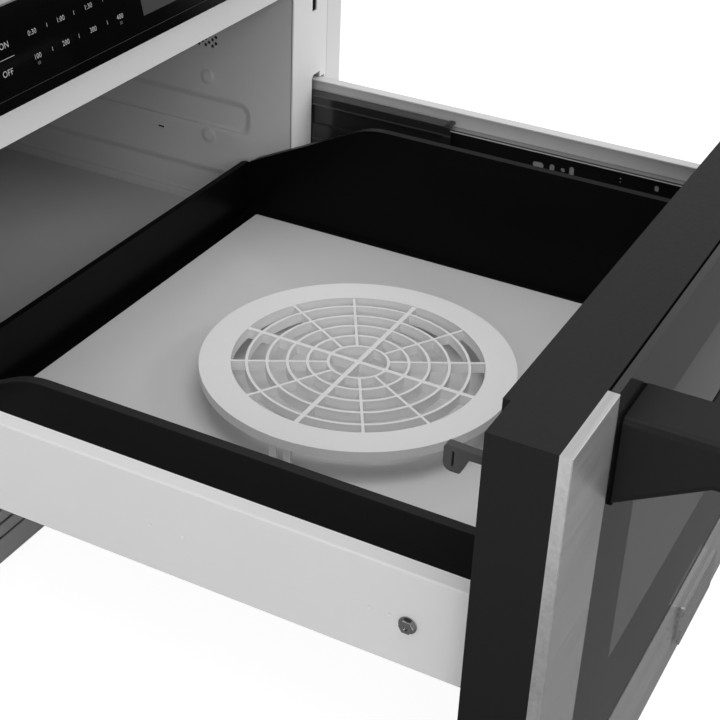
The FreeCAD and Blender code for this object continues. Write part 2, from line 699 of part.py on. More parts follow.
def cavity_liner():
    outer = box(-HALF_CAVITY - LINER, HALF_CAVITY + LINER, CAVITY_FRONT, CAVITY_REAR + LINER,
                CAVITY_FLOOR - LINER, CAVITY_TOP + LINER)
    bumps = []
    pockets = []
    for rise in BEAD_RISES:
        bump = side_bead(CAVITY_FLOOR + rise, LINER + BEAD_DEPTH, LINER)
        pocket = side_bead(CAVITY_FLOOR + rise, BEAD_DEPTH, 0.0)
        bumps += [bump, mirrored(bump)]
        pockets += [pocket, mirrored(pocket)]
    shell = outer.fuse(bumps)
    shell = shell.cut(box(-HALF_CAVITY, HALF_CAVITY, CAVITY_FRONT - 1, CAVITY_REAR,
                          CAVITY_FLOOR, CAVITY_TOP))
    shell = shell.cut(pockets)
    for rise in BOSS_RISES:
        boss = side_boss(rise, BOSS_R, HALF_CAVITY - BOSS_HEIGHT, HALF_CAVITY + LINER / 2)
        hollow = side_boss(rise, BOSS_R - LINER, HALF_CAVITY, HALF_CAVITY + 2 * LINER)
        shell = shell.fuse([boss, mirrored(boss)]).cut([hollow, mirrored(hollow)])
    y, z = FRONT + CLIP_SLOT_BACK, CAVITY_FLOOR + CLIP_SLOT_RISE
    slot = box(HALF_CAVITY - 1, HALF_CAVITY + 2 * BEAD_DEPTH,
               y, y + CLIP_SLOT_LENGTH, z, z + CLIP_SLOT_HEIGHT)
    shell = shell.cut([slot, mirrored(slot)])
    shell = shell.cut(rod(CHAMBER_HOLE_R, V(0, CHAMBER_Y, CAVITY_TOP - 1),
                          V(0, CHAMBER_Y, CAVITY_TOP + LINER + 1)))
    for y, z in lamp_hole_places():
        shell = shell.cut(rod(LAMP_HOLE_R, V(HALF_CAVITY - 1, y, z), V(HALF_CAVITY + 2 * LINER, y, z)))
    return shell


def cavity_lamp():
    y = FRONT + LAMP_BEHIND_FRONT
    x = HALF_CAVITY + LINER
    plate = box(x, x + LAMP_PLATE, y - LAMP_SEAT, y + LAMP_SEAT,
                LAMP_LEVEL - LAMP_SEAT, LAMP_LEVEL + LAMP_SEAT)
    plate = plate.cut(rod(LAMP_R - 1, V(x - 1, y, LAMP_LEVEL), V(x + 3, y, LAMP_LEVEL)))
    bulb = rod(LAMP_R, V(x + LAMP_PLATE, y, LAMP_LEVEL), V(x + LAMP_DEPTH, y, LAMP_LEVEL))
    return joined([plate, bulb])


def waveguide():
    """Duct over the cavity from the magnetron to a round stirrer chamber."""
    top = GUIDE_BOTTOM + GUIDE_HEIGHT
    back = MAGNETRON_Y + MAGNETRON_DEPTH / 2
    duct_in = slab_z(rectangle(MAGNETRON_X - GUIDE_WIDTH / 2 + GUIDE_SHEET,
                               MAGNETRON_X + GUIDE_WIDTH / 2 - GUIDE_SHEET,
                               CHAMBER_Y + GUIDE_SHEET, back - GUIDE_SHEET),
                     GUIDE_BOTTOM + GUIDE_SHEET, top - GUIDE_SHEET)
    duct = box(MAGNETRON_X - GUIDE_WIDTH / 2, MAGNETRON_X + GUIDE_WIDTH / 2, CHAMBER_Y, back,
               GUIDE_BOTTOM, top)
    chamber = rod(CHAMBER_R, V(0, CHAMBER_Y, GUIDE_BOTTOM), V(0, CHAMBER_Y, top))
    hollow = rod(CHAMBER_R - GUIDE_SHEET, V(0, CHAMBER_Y, GUIDE_BOTTOM - 1),
                 V(0, CHAMBER_Y, top - GUIDE_SHEET))
    shaft = rod(SHAFT_R + 1.0, V(0, CHAMBER_Y, top - 5), V(0, CHAMBER_Y, top + 5))
    antenna = rod(ANTENNA_R + 1.0, V(MAGNETRON_X, MAGNETRON_Y, GUIDE_BOTTOM - 1),
                  V(MAGNETRON_X, MAGNETRON_Y, GUIDE_BOTTOM + 3))
    return duct.fuse(chamber).cut([duct_in, hollow, shaft, antenna])


def stirrer_blade():
    z = CAVITY_TOP + COVER_T + STIRRER_OVER_COVER
    hub = rod(STIRRER_HUB_R, V(0, CHAMBER_Y, z - 3), V(0, CHAMBER_Y, z + 5))
    shaft_top = GUIDE_BOTTOM + GUIDE_HEIGHT + STIRRER_MOTOR_H * 0.6
    shaft = rod(SHAFT_R, V(0, CHAMBER_Y, z), V(0, CHAMBER_Y, shaft_top))
    pieces = [hub, shaft]
    for i in range(STIRRER_BLADES):
        blade = slab_z([(4, -8), (STIRRER_R - 6, -17, 5), (STIRRER_R, 10, 5), (4, 8)], 0, STIRRER_BLADE)
        blade.rotate(V(0, 0, 0), V(1, 0, 0), STIRRER_PITCH)
        blade.rotate(V(0, 0, 0), V(0, 0, 1), i * 360.0 / STIRRER_BLADES)
        blade.translate(V(0, CHAMBER_Y, z))
        pieces.append(blade)
    return joined(pieces)


def stirrer_motor():
    bottom = GUIDE_BOTTOM + GUIDE_HEIGHT
    can = rod(STIRRER_MOTOR_R, V(0, CHAMBER_Y, bottom), V(0, CHAMBER_Y, bottom + STIRRER_MOTOR_H))
    half = STIRRER_MOTOR_R + STIRRER_MOTOR_EAR
    ears = box(-half, half, CHAMBER_Y - 5, CHAMBER_Y + 5, bottom, bottom + SHEET)
    bore = rod(SHAFT_R + RUNNING_FIT, V(0, CHAMBER_Y, bottom - 1),
               V(0, CHAMBER_Y, bottom + STIRRER_MOTOR_H * 0.6 + 0.5))
    return joined([can, ears]).cut(bore)


def waveguide_cover():
    disc = rod(CHAMBER_HOLE_R - 0.3, V(0, CHAMBER_Y, CAVITY_TOP), V(0, CHAMBER_Y, CAVITY_TOP + COVER_T))
    top = V(0, CHAMBER_Y, CAVITY_TOP + COVER_T)
    rim = rod(CHAMBER_HOLE_R + COVER_LIP, V(0, CHAMBER_Y, GUIDE_BOTTOM), top)
    return joined([disc, rim])


def magnetron():
    top = GUIDE_BOTTOM
    bottom = top - MAGNETRON_HEIGHT
    x0, x1 = MAGNETRON_X - MAGNETRON_WIDTH / 2, MAGNETRON_X + MAGNETRON_WIDTH / 2
    y0, y1 = MAGNETRON_Y - MAGNETRON_DEPTH / 2, MAGNETRON_Y + MAGNETRON_DEPTH / 2
    t = MAGNETRON_YOKE
    yoke = box(x0, x1, y0, y1, bottom, top).cut(box(x0 + t, x1 - t, y0 - 1, y1 + 1, bottom + t, top - t))
    core = rod(MAGNETRON_CORE_R, V(MAGNETRON_X, MAGNETRON_Y, bottom), V(MAGNETRON_X, MAGNETRON_Y, top))
    dome = rod(ANTENNA_R, V(MAGNETRON_X, MAGNETRON_Y, top), V(MAGNETRON_X, MAGNETRON_Y, top + ANTENNA_HEIGHT))
    pieces = [yoke, core, dome]
    for i in range(FIN_COUNT):
        z = bottom + (i + 1) * MAGNETRON_HEIGHT / (FIN_COUNT + 1)
        pieces.append(box(x0 + t, x1 - t, y0 + 4, y1 - 4, z, z + FIN_T))
    filter_box = box(x0 + 12, x1 - 12, y0 + 10, y1 - 10, bottom - FILTER_HEIGHT, bottom)
    return joined(pieces + [filter_box])


# ---- power parts ----
def transformer_core():
    y0 = REAR - SHEET - CORE_TO_REAR - CORE_DEPTH
    x0 = TRANSFORMER_X - CORE_WIDTH / 2
    block = box(x0, x0 + CORE_WIDTH, y0, y0 + CORE_DEPTH, BASE_SHEET, BASE_SHEET + CORE_HEIGHT)
    leg = CORE_WIDTH / 6
    for i in (0, 1):
        wx = x0 + leg + i * 3 * leg
        block = block.cut(box(wx, wx + leg, y0 - 1, y0 + CORE_DEPTH + 1,
                              BASE_SHEET + leg, BASE_SHEET + CORE_HEIGHT - leg))
    return block


def transformer_coils():
    leg = CORE_WIDTH / 6
    y0 = REAR - SHEET - CORE_TO_REAR - CORE_DEPTH
    x0 = TRANSFORMER_X - leg
    window = CORE_HEIGHT - 2 * leg
    coils = []
    for start, share in ((0.0, 0.55), (0.6, 0.4)):
        z0 = BASE_SHEET + leg + window * start
        ring = box(x0 - leg, x0 + 3 * leg, y0 - leg, y0 + CORE_DEPTH + leg, z0, z0 + window * share)
        coils.append(ring.cut(box(x0, x0 + 2 * leg, y0, y0 + CORE_DEPTH, z0 - 1, z0 + window)))
    return Part.makeCompound(coils)


def capacitor():
    x, y, top = CAPACITOR_X, REAR - SHEET - CAPACITOR_TO_REAR, BASE_SHEET + CAPACITOR_HEIGHT
    half, deep = CAPACITOR_WIDTH / 2, CAPACITOR_DEPTH / 2
    pieces = [slab_z(rectangle(x - half, x + half, y - deep, y + deep, CAPACITOR_ROUND), BASE_SHEET, top)]
    for side in (-1, 1):
        foot = V(x + side * half / 2, y, top - 1)
        pieces.append(rod(TERMINAL_R, foot, foot + V(0, 0, TERMINAL_HEIGHT + 1)))
    return joined(pieces)


def fan_housing():
    y1 = REAR - SHEET
    y0 = y1 - FAN_DEPTH
    half = FAN_SIZE / 2
    body = slab_y(rectangle(FAN_X - half, FAN_X + half, FAN_LEVEL - half, FAN_LEVEL + half, 8.0), y0, y1)
    body = body.cut(rod(FAN_R + 2, V(FAN_X, y0 - 1, FAN_LEVEL), V(FAN_X, y1 + 1, FAN_LEVEL)))
    reach, arm_end = half - FAN_ARM_T, y0 + FAN_ARM_T
    arm = box(FAN_X - reach, FAN_X + reach, y0, arm_end, FAN_LEVEL - FAN_ARM / 2, FAN_LEVEL + FAN_ARM / 2)
    post = box(FAN_X - FAN_ARM / 2, FAN_X + FAN_ARM / 2, y0, arm_end, FAN_LEVEL - reach, FAN_LEVEL + reach)
    can = rod(FAN_MOTOR_R, V(FAN_X, y0 - FAN_MOTOR_LENGTH, FAN_LEVEL), V(FAN_X, arm_end, FAN_LEVEL))
    bore = rod(SHAFT_R + RUNNING_FIT, V(FAN_X, y0 - FAN_SHAFT_IN - 1, FAN_LEVEL),
               V(FAN_X, arm_end + 1, FAN_LEVEL))
    return joined([body, arm, post, can]).cut(bore)


def fan_blade():
    y1 = REAR - SHEET - 3
    y0 = y1 - FAN_BLADE_DEPTH
    shaft_end = REAR - SHEET - FAN_DEPTH - FAN_SHAFT_IN
    hub = rod(FAN_HUB_R, V(FAN_X, y0, FAN_LEVEL), V(FAN_X, y1, FAN_LEVEL))
    pieces = [hub, rod(SHAFT_R, V(FAN_X, shaft_end, FAN_LEVEL), V(FAN_X, y1, FAN_LEVEL))]
    for i in range(FAN_BLADES):
        blade = slab_z([(10, -9), (FAN_R - 6, -15, 6), (FAN_R - 2, 9, 6), (10, 9)],
                       -FAN_BLADE_T / 2, FAN_BLADE_T / 2)
        blade.rotate(V(0, 0, 0), V(1, 0, 0), FAN_BLADE_PITCH)
        blade.rotate(V(0, 0, 0), V(1, 0, 0), 90)
        blade.rotate(V(0, 0, 0), V(0, 1, 0), i * 360.0 / FAN_BLADES)
        blade.translate(V(FAN_X, (y0 + y1) / 2, FAN_LEVEL))
        pieces.append(blade)
    return joined(pieces)


def cord_inlet():
    centre = inlet_centre()
    end = SHEET + INLET_WALL
    flange = rod(INLET_R + 5, centre + V(0, SHEET, 0), centre + V(0, end, 0))
    sleeve = rod(INLET_R, centre - V(0, INLET_DEPTH, 0), centre + V(0, end, 0))
    bore = rod(INLET_R - INLET_WALL, centre - V(0, INLET_DEPTH + 1, 0), centre + V(0, end + 1, 0))
    return joined([flange, sleeve]).cut(bore)


# ---- control panel ----
def panel_point(along, inward):
    """(y, z) of a point given along the glass from its lower edge and inward from its face."""
    tilt = radians(PANEL_TILT)
    y = FRONT - PANEL_PROJECTION + along * sin(tilt) + inward * cos(tilt)
    z = PANEL_BOTTOM + along * cos(tilt) - inward * sin(tilt)
    return (y, z)


def panel_slab(x0, x1, along0, along1, in0, in1):
    corners = [panel_point(along0, in0), panel_point(along0, in1),
               panel_point(along1, in1), panel_point(along1, in0)]
    return slab_x(corners, x0, x1)


def control_glass():
    glass = panel_slab(-HALF_FACE, HALF_FACE, 0, PANEL_LENGTH, 0, PANEL_GLASS)
    glass = glass.common(box(-HALF_FACE, HALF_FACE, FRONT - 2 * PANEL_PROJECTION, REAR,
                             PANEL_BOTTOM, FACE_HEIGHT))
    half = DISPLAY_WIDTH / 2 + DISPLAY_GAP
    return glass.cut(panel_slab(-half, half, DISPLAY_LOW - DISPLAY_GAP,
                                DISPLAY_LOW + DISPLAY_HEIGHT + DISPLAY_GAP, -1, PANEL_GLASS + 1))


def display_lens():
    half = DISPLAY_WIDTH / 2
    return panel_slab(-half, half, DISPLAY_LOW, DISPLAY_LOW + DISPLAY_HEIGHT, 0.0, PANEL_GLASS)


def panel_housing():
    low_y, top_y = panel_point(0, PANEL_GLASS)[0], panel_point(PANEL_LENGTH, PANEL_GLASS)[0]
    shift = PANEL_GLASS * tan(radians(PANEL_TILT)) * sin(radians(PANEL_TILT))
    outer = slab_x([(low_y + shift, PANEL_BOTTOM), (FRONT, PANEL_BOTTOM), (FRONT, FACE_HEIGHT),
                    (top_y + shift, FACE_HEIGHT)], -HALF_FACE, HALF_FACE)
    wall = HOUSING_WALL
    inner = slab_x([(low_y + shift + wall * 1.3, PANEL_BOTTOM + wall), (FRONT + 1, PANEL_BOTTOM + wall),
                    (FRONT + 1, FACE_HEIGHT - wall), (top_y + shift + wall, FACE_HEIGHT - wall)],
                   -HALF_FACE + wall, HALF_FACE - wall)
    half = DISPLAY_WIDTH / 2 - DISPLAY_LIP
    window = panel_slab(-half, half, DISPLAY_LOW + DISPLAY_LIP, DISPLAY_LOW + DISPLAY_HEIGHT - DISPLAY_LIP,
                        PANEL_GLASS - 1, PANEL_GLASS + 3 * HOUSING_WALL)
    cap = box(-HALF_FRAME, HALF_FRAME, FRONT, FRONT + FRAME_SHEET, FACE_HEIGHT - wall, FACE_HEIGHT)
    return joined([outer.cut(inner).cut(window), cap])


def control_board():
    gap = PANEL_GLASS + HOUSING_WALL + BOARD_BEHIND
    height = PANEL_HEIGHT - BOARD_SHORTER
    low = (PANEL_LENGTH - height) / 2
    board = panel_slab(-BOARD_WIDTH / 2, BOARD_WIDTH / 2, low, low + height, gap, gap + BOARD_T)
    pieces = [board]
    for i, size in enumerate((26.0, 18.0, 34.0, 14.0)):
        x = -BOARD_WIDTH * 0.4 + i * BOARD_WIDTH * 0.24
        pieces.append(panel_slab(x, x + size, low + 8, low + 8 + size * 0.6,
                                 gap + BOARD_T, gap + BOARD_T + 5))
    for side in (-1, 1):
        x = side * BOARD_WIDTH * 0.47
        pieces.append(panel_slab(x - 3, x + 3, low + 4, low + 10, gap - 1.0, gap))
    return joined(pieces)


# ---- slides ----
def case_rail():
    """Outer member, screwed to the case's bracket; it opens away from the cavity."""
    y0 = FRONT + CASE_RAIL_FRONT
    y1 = y0 + CASE_RAIL_LENGTH
    x0 = CASE_RAIL_WEB
    lip = x0 + CASE_LIP
    web = box(x0, x0 + SLIDE_SHEET, y0, y1, CASE_RAIL_LOW, CASE_RAIL_HIGH)
    top = box(x0, lip, y0, y1, CASE_RAIL_HIGH - SLIDE_SHEET, CASE_RAIL_HIGH)
    bottom = box(x0, lip, y0, y1, CASE_RAIL_LOW, CASE_RAIL_LOW + SLIDE_SHEET)
    return joined([web, top, bottom])


def middle_rail():
    """Middle member with a stepped web, rivets and a stop clip on its front end."""
    y0 = FRONT - MIDDLE_RAIL_OUT
    y1 = y0 + TRAY_DEPTH - MIDDLE_RAIL_SHORTER
    x0, t = MIDDLE_WEB_X, SLIDE_SHEET
    x1, xs = x0 + MIDDLE_LIP, x0 + RAIL_STEP
    low, high, a, b = MIDDLE_LOW, MIDDLE_HIGH, RECESS_LOW, RECESS_HIGH
    r = MIDDLE_BEND_R
    profile = [(x1, low), (x0, low, r), (x0, a), (xs, a), (xs, b), (x0, b), (x0, high, r), (x1, high),
               (x1, high - t), (x0 + t, high - t), (x0 + t, b + t), (xs + t, b + t), (xs + t, a - t),
               (x0 + t, a - t), (x0 + t, low + t), (x1, low + t)]
    rail = slab_y(profile, y0, y1)
    cap_end, tail = y0 + STOP_CAP_LENGTH, high - STOP_TAIL
    clip = slab_x([(y0, high + STOP_CAP), (y0 - STOP_TAIL_LEAN, tail), (y0 + STOP_LENGTH, tail),
                   (cap_end, high - STOP_SHOULDER), (cap_end, high + STOP_CAP)], x0 - STOP_T, x0)
    cap = box(x0 - STOP_T, x1, y0, cap_end, high, high + STOP_CAP)
    pieces = [rail, clip, cap]
    for back, rise in zip(RIVETS_BACK, RIVET_RISES):
        pieces.append(rod(RIVET_R, V(xs - RIVET_OUT, y0 + back, a + rise), V(xs + 0.5, y0 + back, a + rise)))
    return joined(pieces)


def rail_hole(back, rise, radius, run, height):
    """Round hole in the drawer rail's web, drawn out by run along it or by height up it."""
    y, z = CHOKE_FACE + back, DRAWER_RAIL_LOW + rise
    x0, x1 = PANEL_IN - 2 * SLIDE_SHEET, PANEL_IN + 1
    if not run and not height:
        return rod(radius, V(x0, y, z), V(x1, y, z))
    half, tall = run / 2 + radius, height / 2 + radius
    return slab_x(rectangle(y - half, y + half, z - tall, z + tall, radius * 0.98), x0, x1)


def rail_holes():
    """Openings that the slide's maker punches for its fixing screws and locating pins."""
    sizes = zip(RAIL_HOLES_BACK, RAIL_HOLE_RISES, RAIL_HOLE_RADII, RAIL_HOLE_RUNS, RAIL_HOLE_HEIGHTS)
    return [rail_hole(*size) for size in sizes]


def drawer_rail():
    """Inner member, fixed to the side panel; it opens towards the cavity."""
    y0 = CHOKE_FACE
    y1 = y0 + TRAY_DEPTH - DRAWER_RAIL_SHORTER
    x1 = PANEL_IN
    x0 = x1 - DRAWER_LIP
    web = box(x1 - SLIDE_SHEET, x1, y0, y1, DRAWER_RAIL_LOW, DRAWER_RAIL_HIGH)
    top = box(x0, x1, y0, y1, DRAWER_RAIL_HIGH - SLIDE_SHEET, DRAWER_RAIL_HIGH)
    bottom = box(x0, x1, y0, y1, DRAWER_RAIL_LOW, DRAWER_RAIL_LOW + SLIDE_SHEET)
    return joined([web, top, bottom]).cut(rail_holes() + [panel_screw_hole()])


def panel_screw_hole():
    y = CHOKE_FACE + PANEL_SCREW_BACK
    return rod(SCREW_R + 0.2, V(PANEL_IN - 4, y, PANEL_SCREW_LEVEL), V(PANEL_OUT + 4, y, PANEL_SCREW_LEVEL))


def side_panel():
    """C-shaped sheet outside the tray, with small pressed dots on its outer face."""
    y0 = CHOKE_FACE
    y1 = y0 + TRAY_DEPTH - SIDE_PANEL_SHORTER
    low, top = SIDE_PANEL_BOTTOM, SIDE_PANEL_TOP
    x0 = PANEL_OUT - SIDE_PANEL_FLANGE
    r = BASE_SHEET
    profile = [(x0, low), (PANEL_OUT, low, r), (PANEL_OUT, top, r), (x0, top),
               (x0, top - SHEET), (PANEL_IN, top - SHEET), (PANEL_IN, low + SHEET), (x0, low + SHEET)]
    dots = []
    for back in DIMPLES_BACK:
        centre = V(PANEL_OUT - DIMPLE_DEPTH, y0 + back, low + DIMPLE_RISE)
        dots.append(Part.makeCone(DIMPLE_R / 2, DIMPLE_R * 1.5, 2 * DIMPLE_DEPTH, centre, V(1, 0, 0)))
    return slab_y(profile, y0, y1).cut(dots + [panel_screw_hole()])


def panel_screws():
    """One hexagon washer-head screw through each side panel and its slide."""
    y = CHOKE_FACE + PANEL_SCREW_BACK
    z = PANEL_SCREW_LEVEL
    washer = rod(SCREW_WASHER_R, V(PANEL_OUT, y, z), V(PANEL_OUT + SCREW_WASHER, y, z))
    shank = rod(SCREW_R, V(PANEL_IN - SLIDE_SHEET - 1.5, y, z), V(PANEL_OUT, y, z))
    corner = SCREW_HEX / sqrt(3)
    hexagon = [(y + corner * cos(radians(60 * i)), z + corner * sin(radians(60 * i))) for i in range(6)]
    head = slab_x(hexagon, PANEL_OUT + SCREW_WASHER, PANEL_OUT + SCREW_HEAD)
    top = PANEL_OUT + SCREW_HEAD
    head = head.cut(rod(SCREW_R * 0.9, V(top - 0.7, y, z), V(top + 1, y, z)))
    screw = joined([washer, shank, head])
    return Part.makeCompound([screw, mirrored(screw)])


def slide_bracket():
    y0 = FRONT + BRACKET_FRONT
    y1 = y0 + CASE_RAIL_LENGTH + BRACKET_LONGER
    x1 = CASE_RAIL_WEB
    wall = box(BRACKET_X, x1, y0, y1, BASE_SHEET, CASE_RAIL_HIGH + BRACKET_OVER)
    foot = box(x1 - BRACKET_FOOT, x1, y0, y1, BASE_SHEET, BASE_SHEET + BRACKET_SHEET)
    hole = rod(SHAFT_R + 1.5, V(BRACKET_X - 1, PINION_Y, PINION_Z), V(x1 + 1, PINION_Y, PINION_Z))
    return joined([wall, foot]).cut(hole)


# ---- drive ----
def involute_flank(steps=5):
    """Points of one flank as (radius, angle from the tooth's centre line)."""
    base = PINION_R * cos(radians(PRESSURE_ANGLE))
    tip = PINION_R + GEAR_MODULE
    inv_pitch = tan(radians(PRESSURE_ANGLE)) - radians(PRESSURE_ANGLE)
    half_tooth = (PITCH / 2 - BACKLASH) / (2 * PINION_R)
    points = []
    for i in range(steps + 1):
        r = base + (tip - base) * i / steps
        roll = sqrt(max((r / base) ** 2 - 1, 0))
        inv = roll - (pi / 2 - cos_angle(base / r))
        points.append((r, half_tooth + inv_pitch - inv))
    return points


def cos_angle(share):
    """Angle whose sine is the given share, so that pi/2 less it is the share's arc cosine."""
    low, high = 0.0, pi / 2
    for _ in range(60):
        mid = (low + high) / 2
        if sin(mid) < share:
            low = mid
        else:
            high = mid
    return (low + high) / 2


def drive_pinion():
    """Straight-cut gear whose tooth gap points up at rest, on its own shaft."""
    root = PINION_R - 1.3 * GEAR_MODULE
    flank = involute_flank()
    corners = []
    for tooth in range(PINION_TEETH):
        centre = pi / 2 + (tooth + 0.5) * 2 * pi / PINION_TEETH
        right = [(root, centre - flank[0][1])] + [(r, centre - a) for r, a in flank]
        left = [(r, centre + a) for r, a in reversed(flank)] + [(root, centre + flank[0][1])]
        corners += [(PINION_Y + r * cos(a), PINION_Z + r * sin(a)) for r, a in right + left]
    gear = slab_x(corners, RACK_X, RACK_X + RACK_WIDTH - 1)
    shaft = rod(SHAFT_R, V(BRACKET_X - PINION_SHAFT_IN, PINION_Y, PINION_Z),
                V(RACK_X + 1, PINION_Y, PINION_Z))
    return joined([gear, shaft])


def drive_rack():
    """Toothed bar under the right side panel; a tooth stands over the pinion at rest."""
    half_tip = PITCH / 4 - BACKLASH / 2 - GEAR_MODULE * 0.9 * tan(radians(PRESSURE_ANGLE))
    half_root = PITCH / 4 - BACKLASH / 2 + 1.25 * GEAR_MODULE * tan(radians(PRESSURE_ANGLE))
    tip = PITCH_LINE - 0.9 * GEAR_MODULE
    last = PINION_Y + TEETH_BEHIND * PITCH
    first = last - (RACK_TEETH - 1) * PITCH
    corners = [(first - PITCH / 2, RACK_ROOT)]
    for i in range(RACK_TEETH):
        y = first + i * PITCH
        corners += [(y - half_root, RACK_ROOT), (y - half_tip, tip),
                    (y + half_tip, tip), (y + half_root, RACK_ROOT)]
    corners += [(last + PITCH / 2, RACK_ROOT), (last + PITCH / 2, SIDE_PANEL_BOTTOM),
                (first - PITCH / 2, SIDE_PANEL_BOTTOM)]
    return slab_x(corners, RACK_X, RACK_X + RACK_WIDTH)


def drive_motor():
    """Flat gearbox on the inner face of the right slide bracket, motor lying along it."""
    x1 = BRACKET_X
    x0 = HALF_CAVITY + LINER + BEAD_DEPTH + 1.0
    front = PINION_Y - GEARBOX_FRONT
    box_z = PINION_Z - GEARBOX_HEIGHT / 2
    gearbox = slab_x(rectangle(front, front + GEARBOX_LENGTH, box_z, box_z + GEARBOX_HEIGHT, 6.0), x0, x1)
    centre_x = (x0 + x1) / 2
    motor = rod(MOTOR_R, V(centre_x, front + GEARBOX_LENGTH, PINION_Z),
                V(centre_x, front + GEARBOX_LENGTH + MOTOR_LENGTH, PINION_Z))
    bore = rod(SHAFT_R + RUNNING_FIT, V(x1 - PINION_SHAFT_IN - 0.5, PINION_Y, PINION_Z),
               V(x1 + 1, PINION_Y, PINION_Z))
    return joined([gearbox, motor]).cut(bore)


# ---- tray ----
def tray_section():
    """U-shaped section as (x, z), with rounded bottom edges."""
    edge, low = HALF_TRAY + TRAY_WALL, LEDGE - TRAY_WALL
    inner_r = TRAY_EDGE_R - TRAY_WALL
    return [(-edge, TRAY_TOP), (-edge, low, TRAY_EDGE_R), (edge, low, TRAY_EDGE_R),
            (edge, TRAY_TOP), (HALF_TRAY, TRAY_TOP), (HALF_TRAY, LEDGE, inner_r),
            (-HALF_TRAY, LEDGE, inner_r), (-HALF_TRAY, TRAY_TOP)]


def tray_knee():
    return TRAY_REAR - (TRAY_TOP - TRAY_END) / tan(radians(TRAY_SLOPE))


def tray_channel():
    """Floor ledge and both side walls, trimmed to the side wall's outline."""
    edge = HALF_TRAY + TRAY_WALL
    channel = slab_y(tray_section(), CHOKE_FACE, TRAY_REAR + TRAY_WALL)
    above = [(TRAY_REAR + 5, TRAY_END), (TRAY_REAR, TRAY_END), (tray_knee(), TRAY_TOP, TRAY_KNEE_R),
             (CHOKE_FACE - 5, TRAY_TOP), (CHOKE_FACE - 5, TRAY_TOP + 5), (TRAY_REAR + 5, TRAY_TOP + 5)]
    return channel.cut(slab_x(above, -edge - 1, edge + 1))


def tray_rim():
    """Flange turned outwards along the right side wall's top edge."""
    end = TRAY_REAR - RIM_END_GAP
    strips = []
    for drop in (0.0, TRAY_WALL):
        strips.append([(CHOKE_FACE, GLASS_LEVEL), (end, GLASS_LEVEL),
                       (end, TRAY_END - drop + RIM_END_GAP * tan(radians(TRAY_SLOPE))),
                       (tray_knee(), TRAY_TOP - drop, TRAY_KNEE_R), (CHOKE_FACE, TRAY_TOP - drop)])
    edge = HALF_TRAY + TRAY_WALL
    band = slab_x(strips[0], edge - 0.2, HALF_TRAY + RIM_WIDTH)
    return band.cut(slab_x(strips[1], edge - 1, HALF_TRAY + RIM_WIDTH + 1))


def tray_end_wall(y0):
    edge = HALF_TRAY + TRAY_WALL
    low = LEDGE - TRAY_WALL
    return slab_y([(-edge, TRAY_END), (-edge, low, TRAY_EDGE_R), (edge, low, TRAY_EDGE_R), (edge, TRAY_END)],
                  y0, y0 + TRAY_WALL)


def tray_tab():
    """Small upright tab pressed inwards in the right side wall."""
    y, z = TRAY_REAR - TAB_FROM_REAR, GLASS_LEVEL + TAB_RISE
    corners = rectangle(y - TAB_LENGTH / 2, y + TAB_LENGTH / 2, z, z + TAB_HEIGHT, TAB_LENGTH * 0.35)
    return slab_x(corners, HALF_TRAY - TAB_OUT, HALF_TRAY + TRAY_WALL / 2)


def tray_corner():
    """Folded end of the rear wall and the weld pips beside it, in the right rear corner."""
    wall = TRAY_WALL
    fold = box(HALF_TRAY - wall, HALF_TRAY + wall / 2, TRAY_REAR - FOLD_LENGTH, TRAY_REAR + wall / 2,
               GLASS_LEVEL + FOLD_RISE, TRAY_END - 2 * NOTCH)
    side_pip = V(HALF_TRAY - PIP_OUT, TRAY_REAR - SIDE_PIP_BACK, GLASS_LEVEL + SIDE_PIP_RISE)
    rear_pip = V(HALF_TRAY - REAR_PIP_INSET, TRAY_REAR - PIP_OUT, GLASS_LEVEL + REAR_PIP_RISE)
    return [fold, rod(PIP_R, side_pip, side_pip + V(PIP_OUT + 0.5, 0, 0)),
            rod(PIP_R, rear_pip, rear_pip + V(0, PIP_OUT + 0.5, 0))]


def tray_notch():
    corners = [(TRAY_REAR - 2 * NOTCH, TRAY_END + 2 * NOTCH), (TRAY_REAR - NOTCH, TRAY_END - NOTCH),
               (TRAY_REAR, TRAY_END + 2 * NOTCH)]
    return slab_x(corners, HALF_TRAY - 2 * TRAY_WALL, HALF_TRAY + 2 * TRAY_WALL)


def tray_shell():
    bottom = GLASS_LEVEL - FLOOR_GLASS
    edge, rim_back = HALF_TRAY + TRAY_WALL, TRAY_REAR + REAR_RIM
    cut_back = edge - REAR_RIM_CORNER
    rear_rim = slab_z([(-edge, TRAY_REAR), (edge, TRAY_REAR), (edge, rim_back - REAR_RIM_CORNER),
                       (cut_back, rim_back), (-cut_back, rim_back), (-edge, rim_back - REAR_RIM_CORNER)],
                      TRAY_END - TRAY_WALL, TRAY_END)
    half = HALF_TRAY - LEDGE_SIDE + GLASS_GROOVE
    y0, y1 = CHOKE_FACE + LEDGE_END - GLASS_GROOVE, TRAY_REAR - LEDGE_END + GLASS_GROOVE
    wall = TRAY_WALL
    corner = GLASS_CORNER + GLASS_GROOVE
    well = slab_z(rectangle(-half - wall, half + wall, y0 - wall, y1 + wall, corner + wall),
                  bottom - wall, LEDGE)
    hollow = slab_z(rectangle(-half, half, y0, y1, corner), bottom, GLASS_LEVEL + 1)
    right = [tray_rim(), tray_tab()] + tray_corner()
    left = [mirrored(piece) for piece in right]
    shell = joined([tray_channel(), rear_rim, tray_end_wall(TRAY_REAR), tray_end_wall(CHOKE_FACE), well]
                   + right + left)
    notch = tray_notch()
    return shell.cut([hollow, notch, mirrored(notch)])


def floor_glass():
    half = HALF_TRAY - LEDGE_SIDE
    corners = rectangle(-half, half, CHOKE_FACE + LEDGE_END, TRAY_REAR - LEDGE_END, GLASS_CORNER)
    return slab_z(corners, GLASS_LEVEL - FLOOR_GLASS, GLASS_LEVEL)


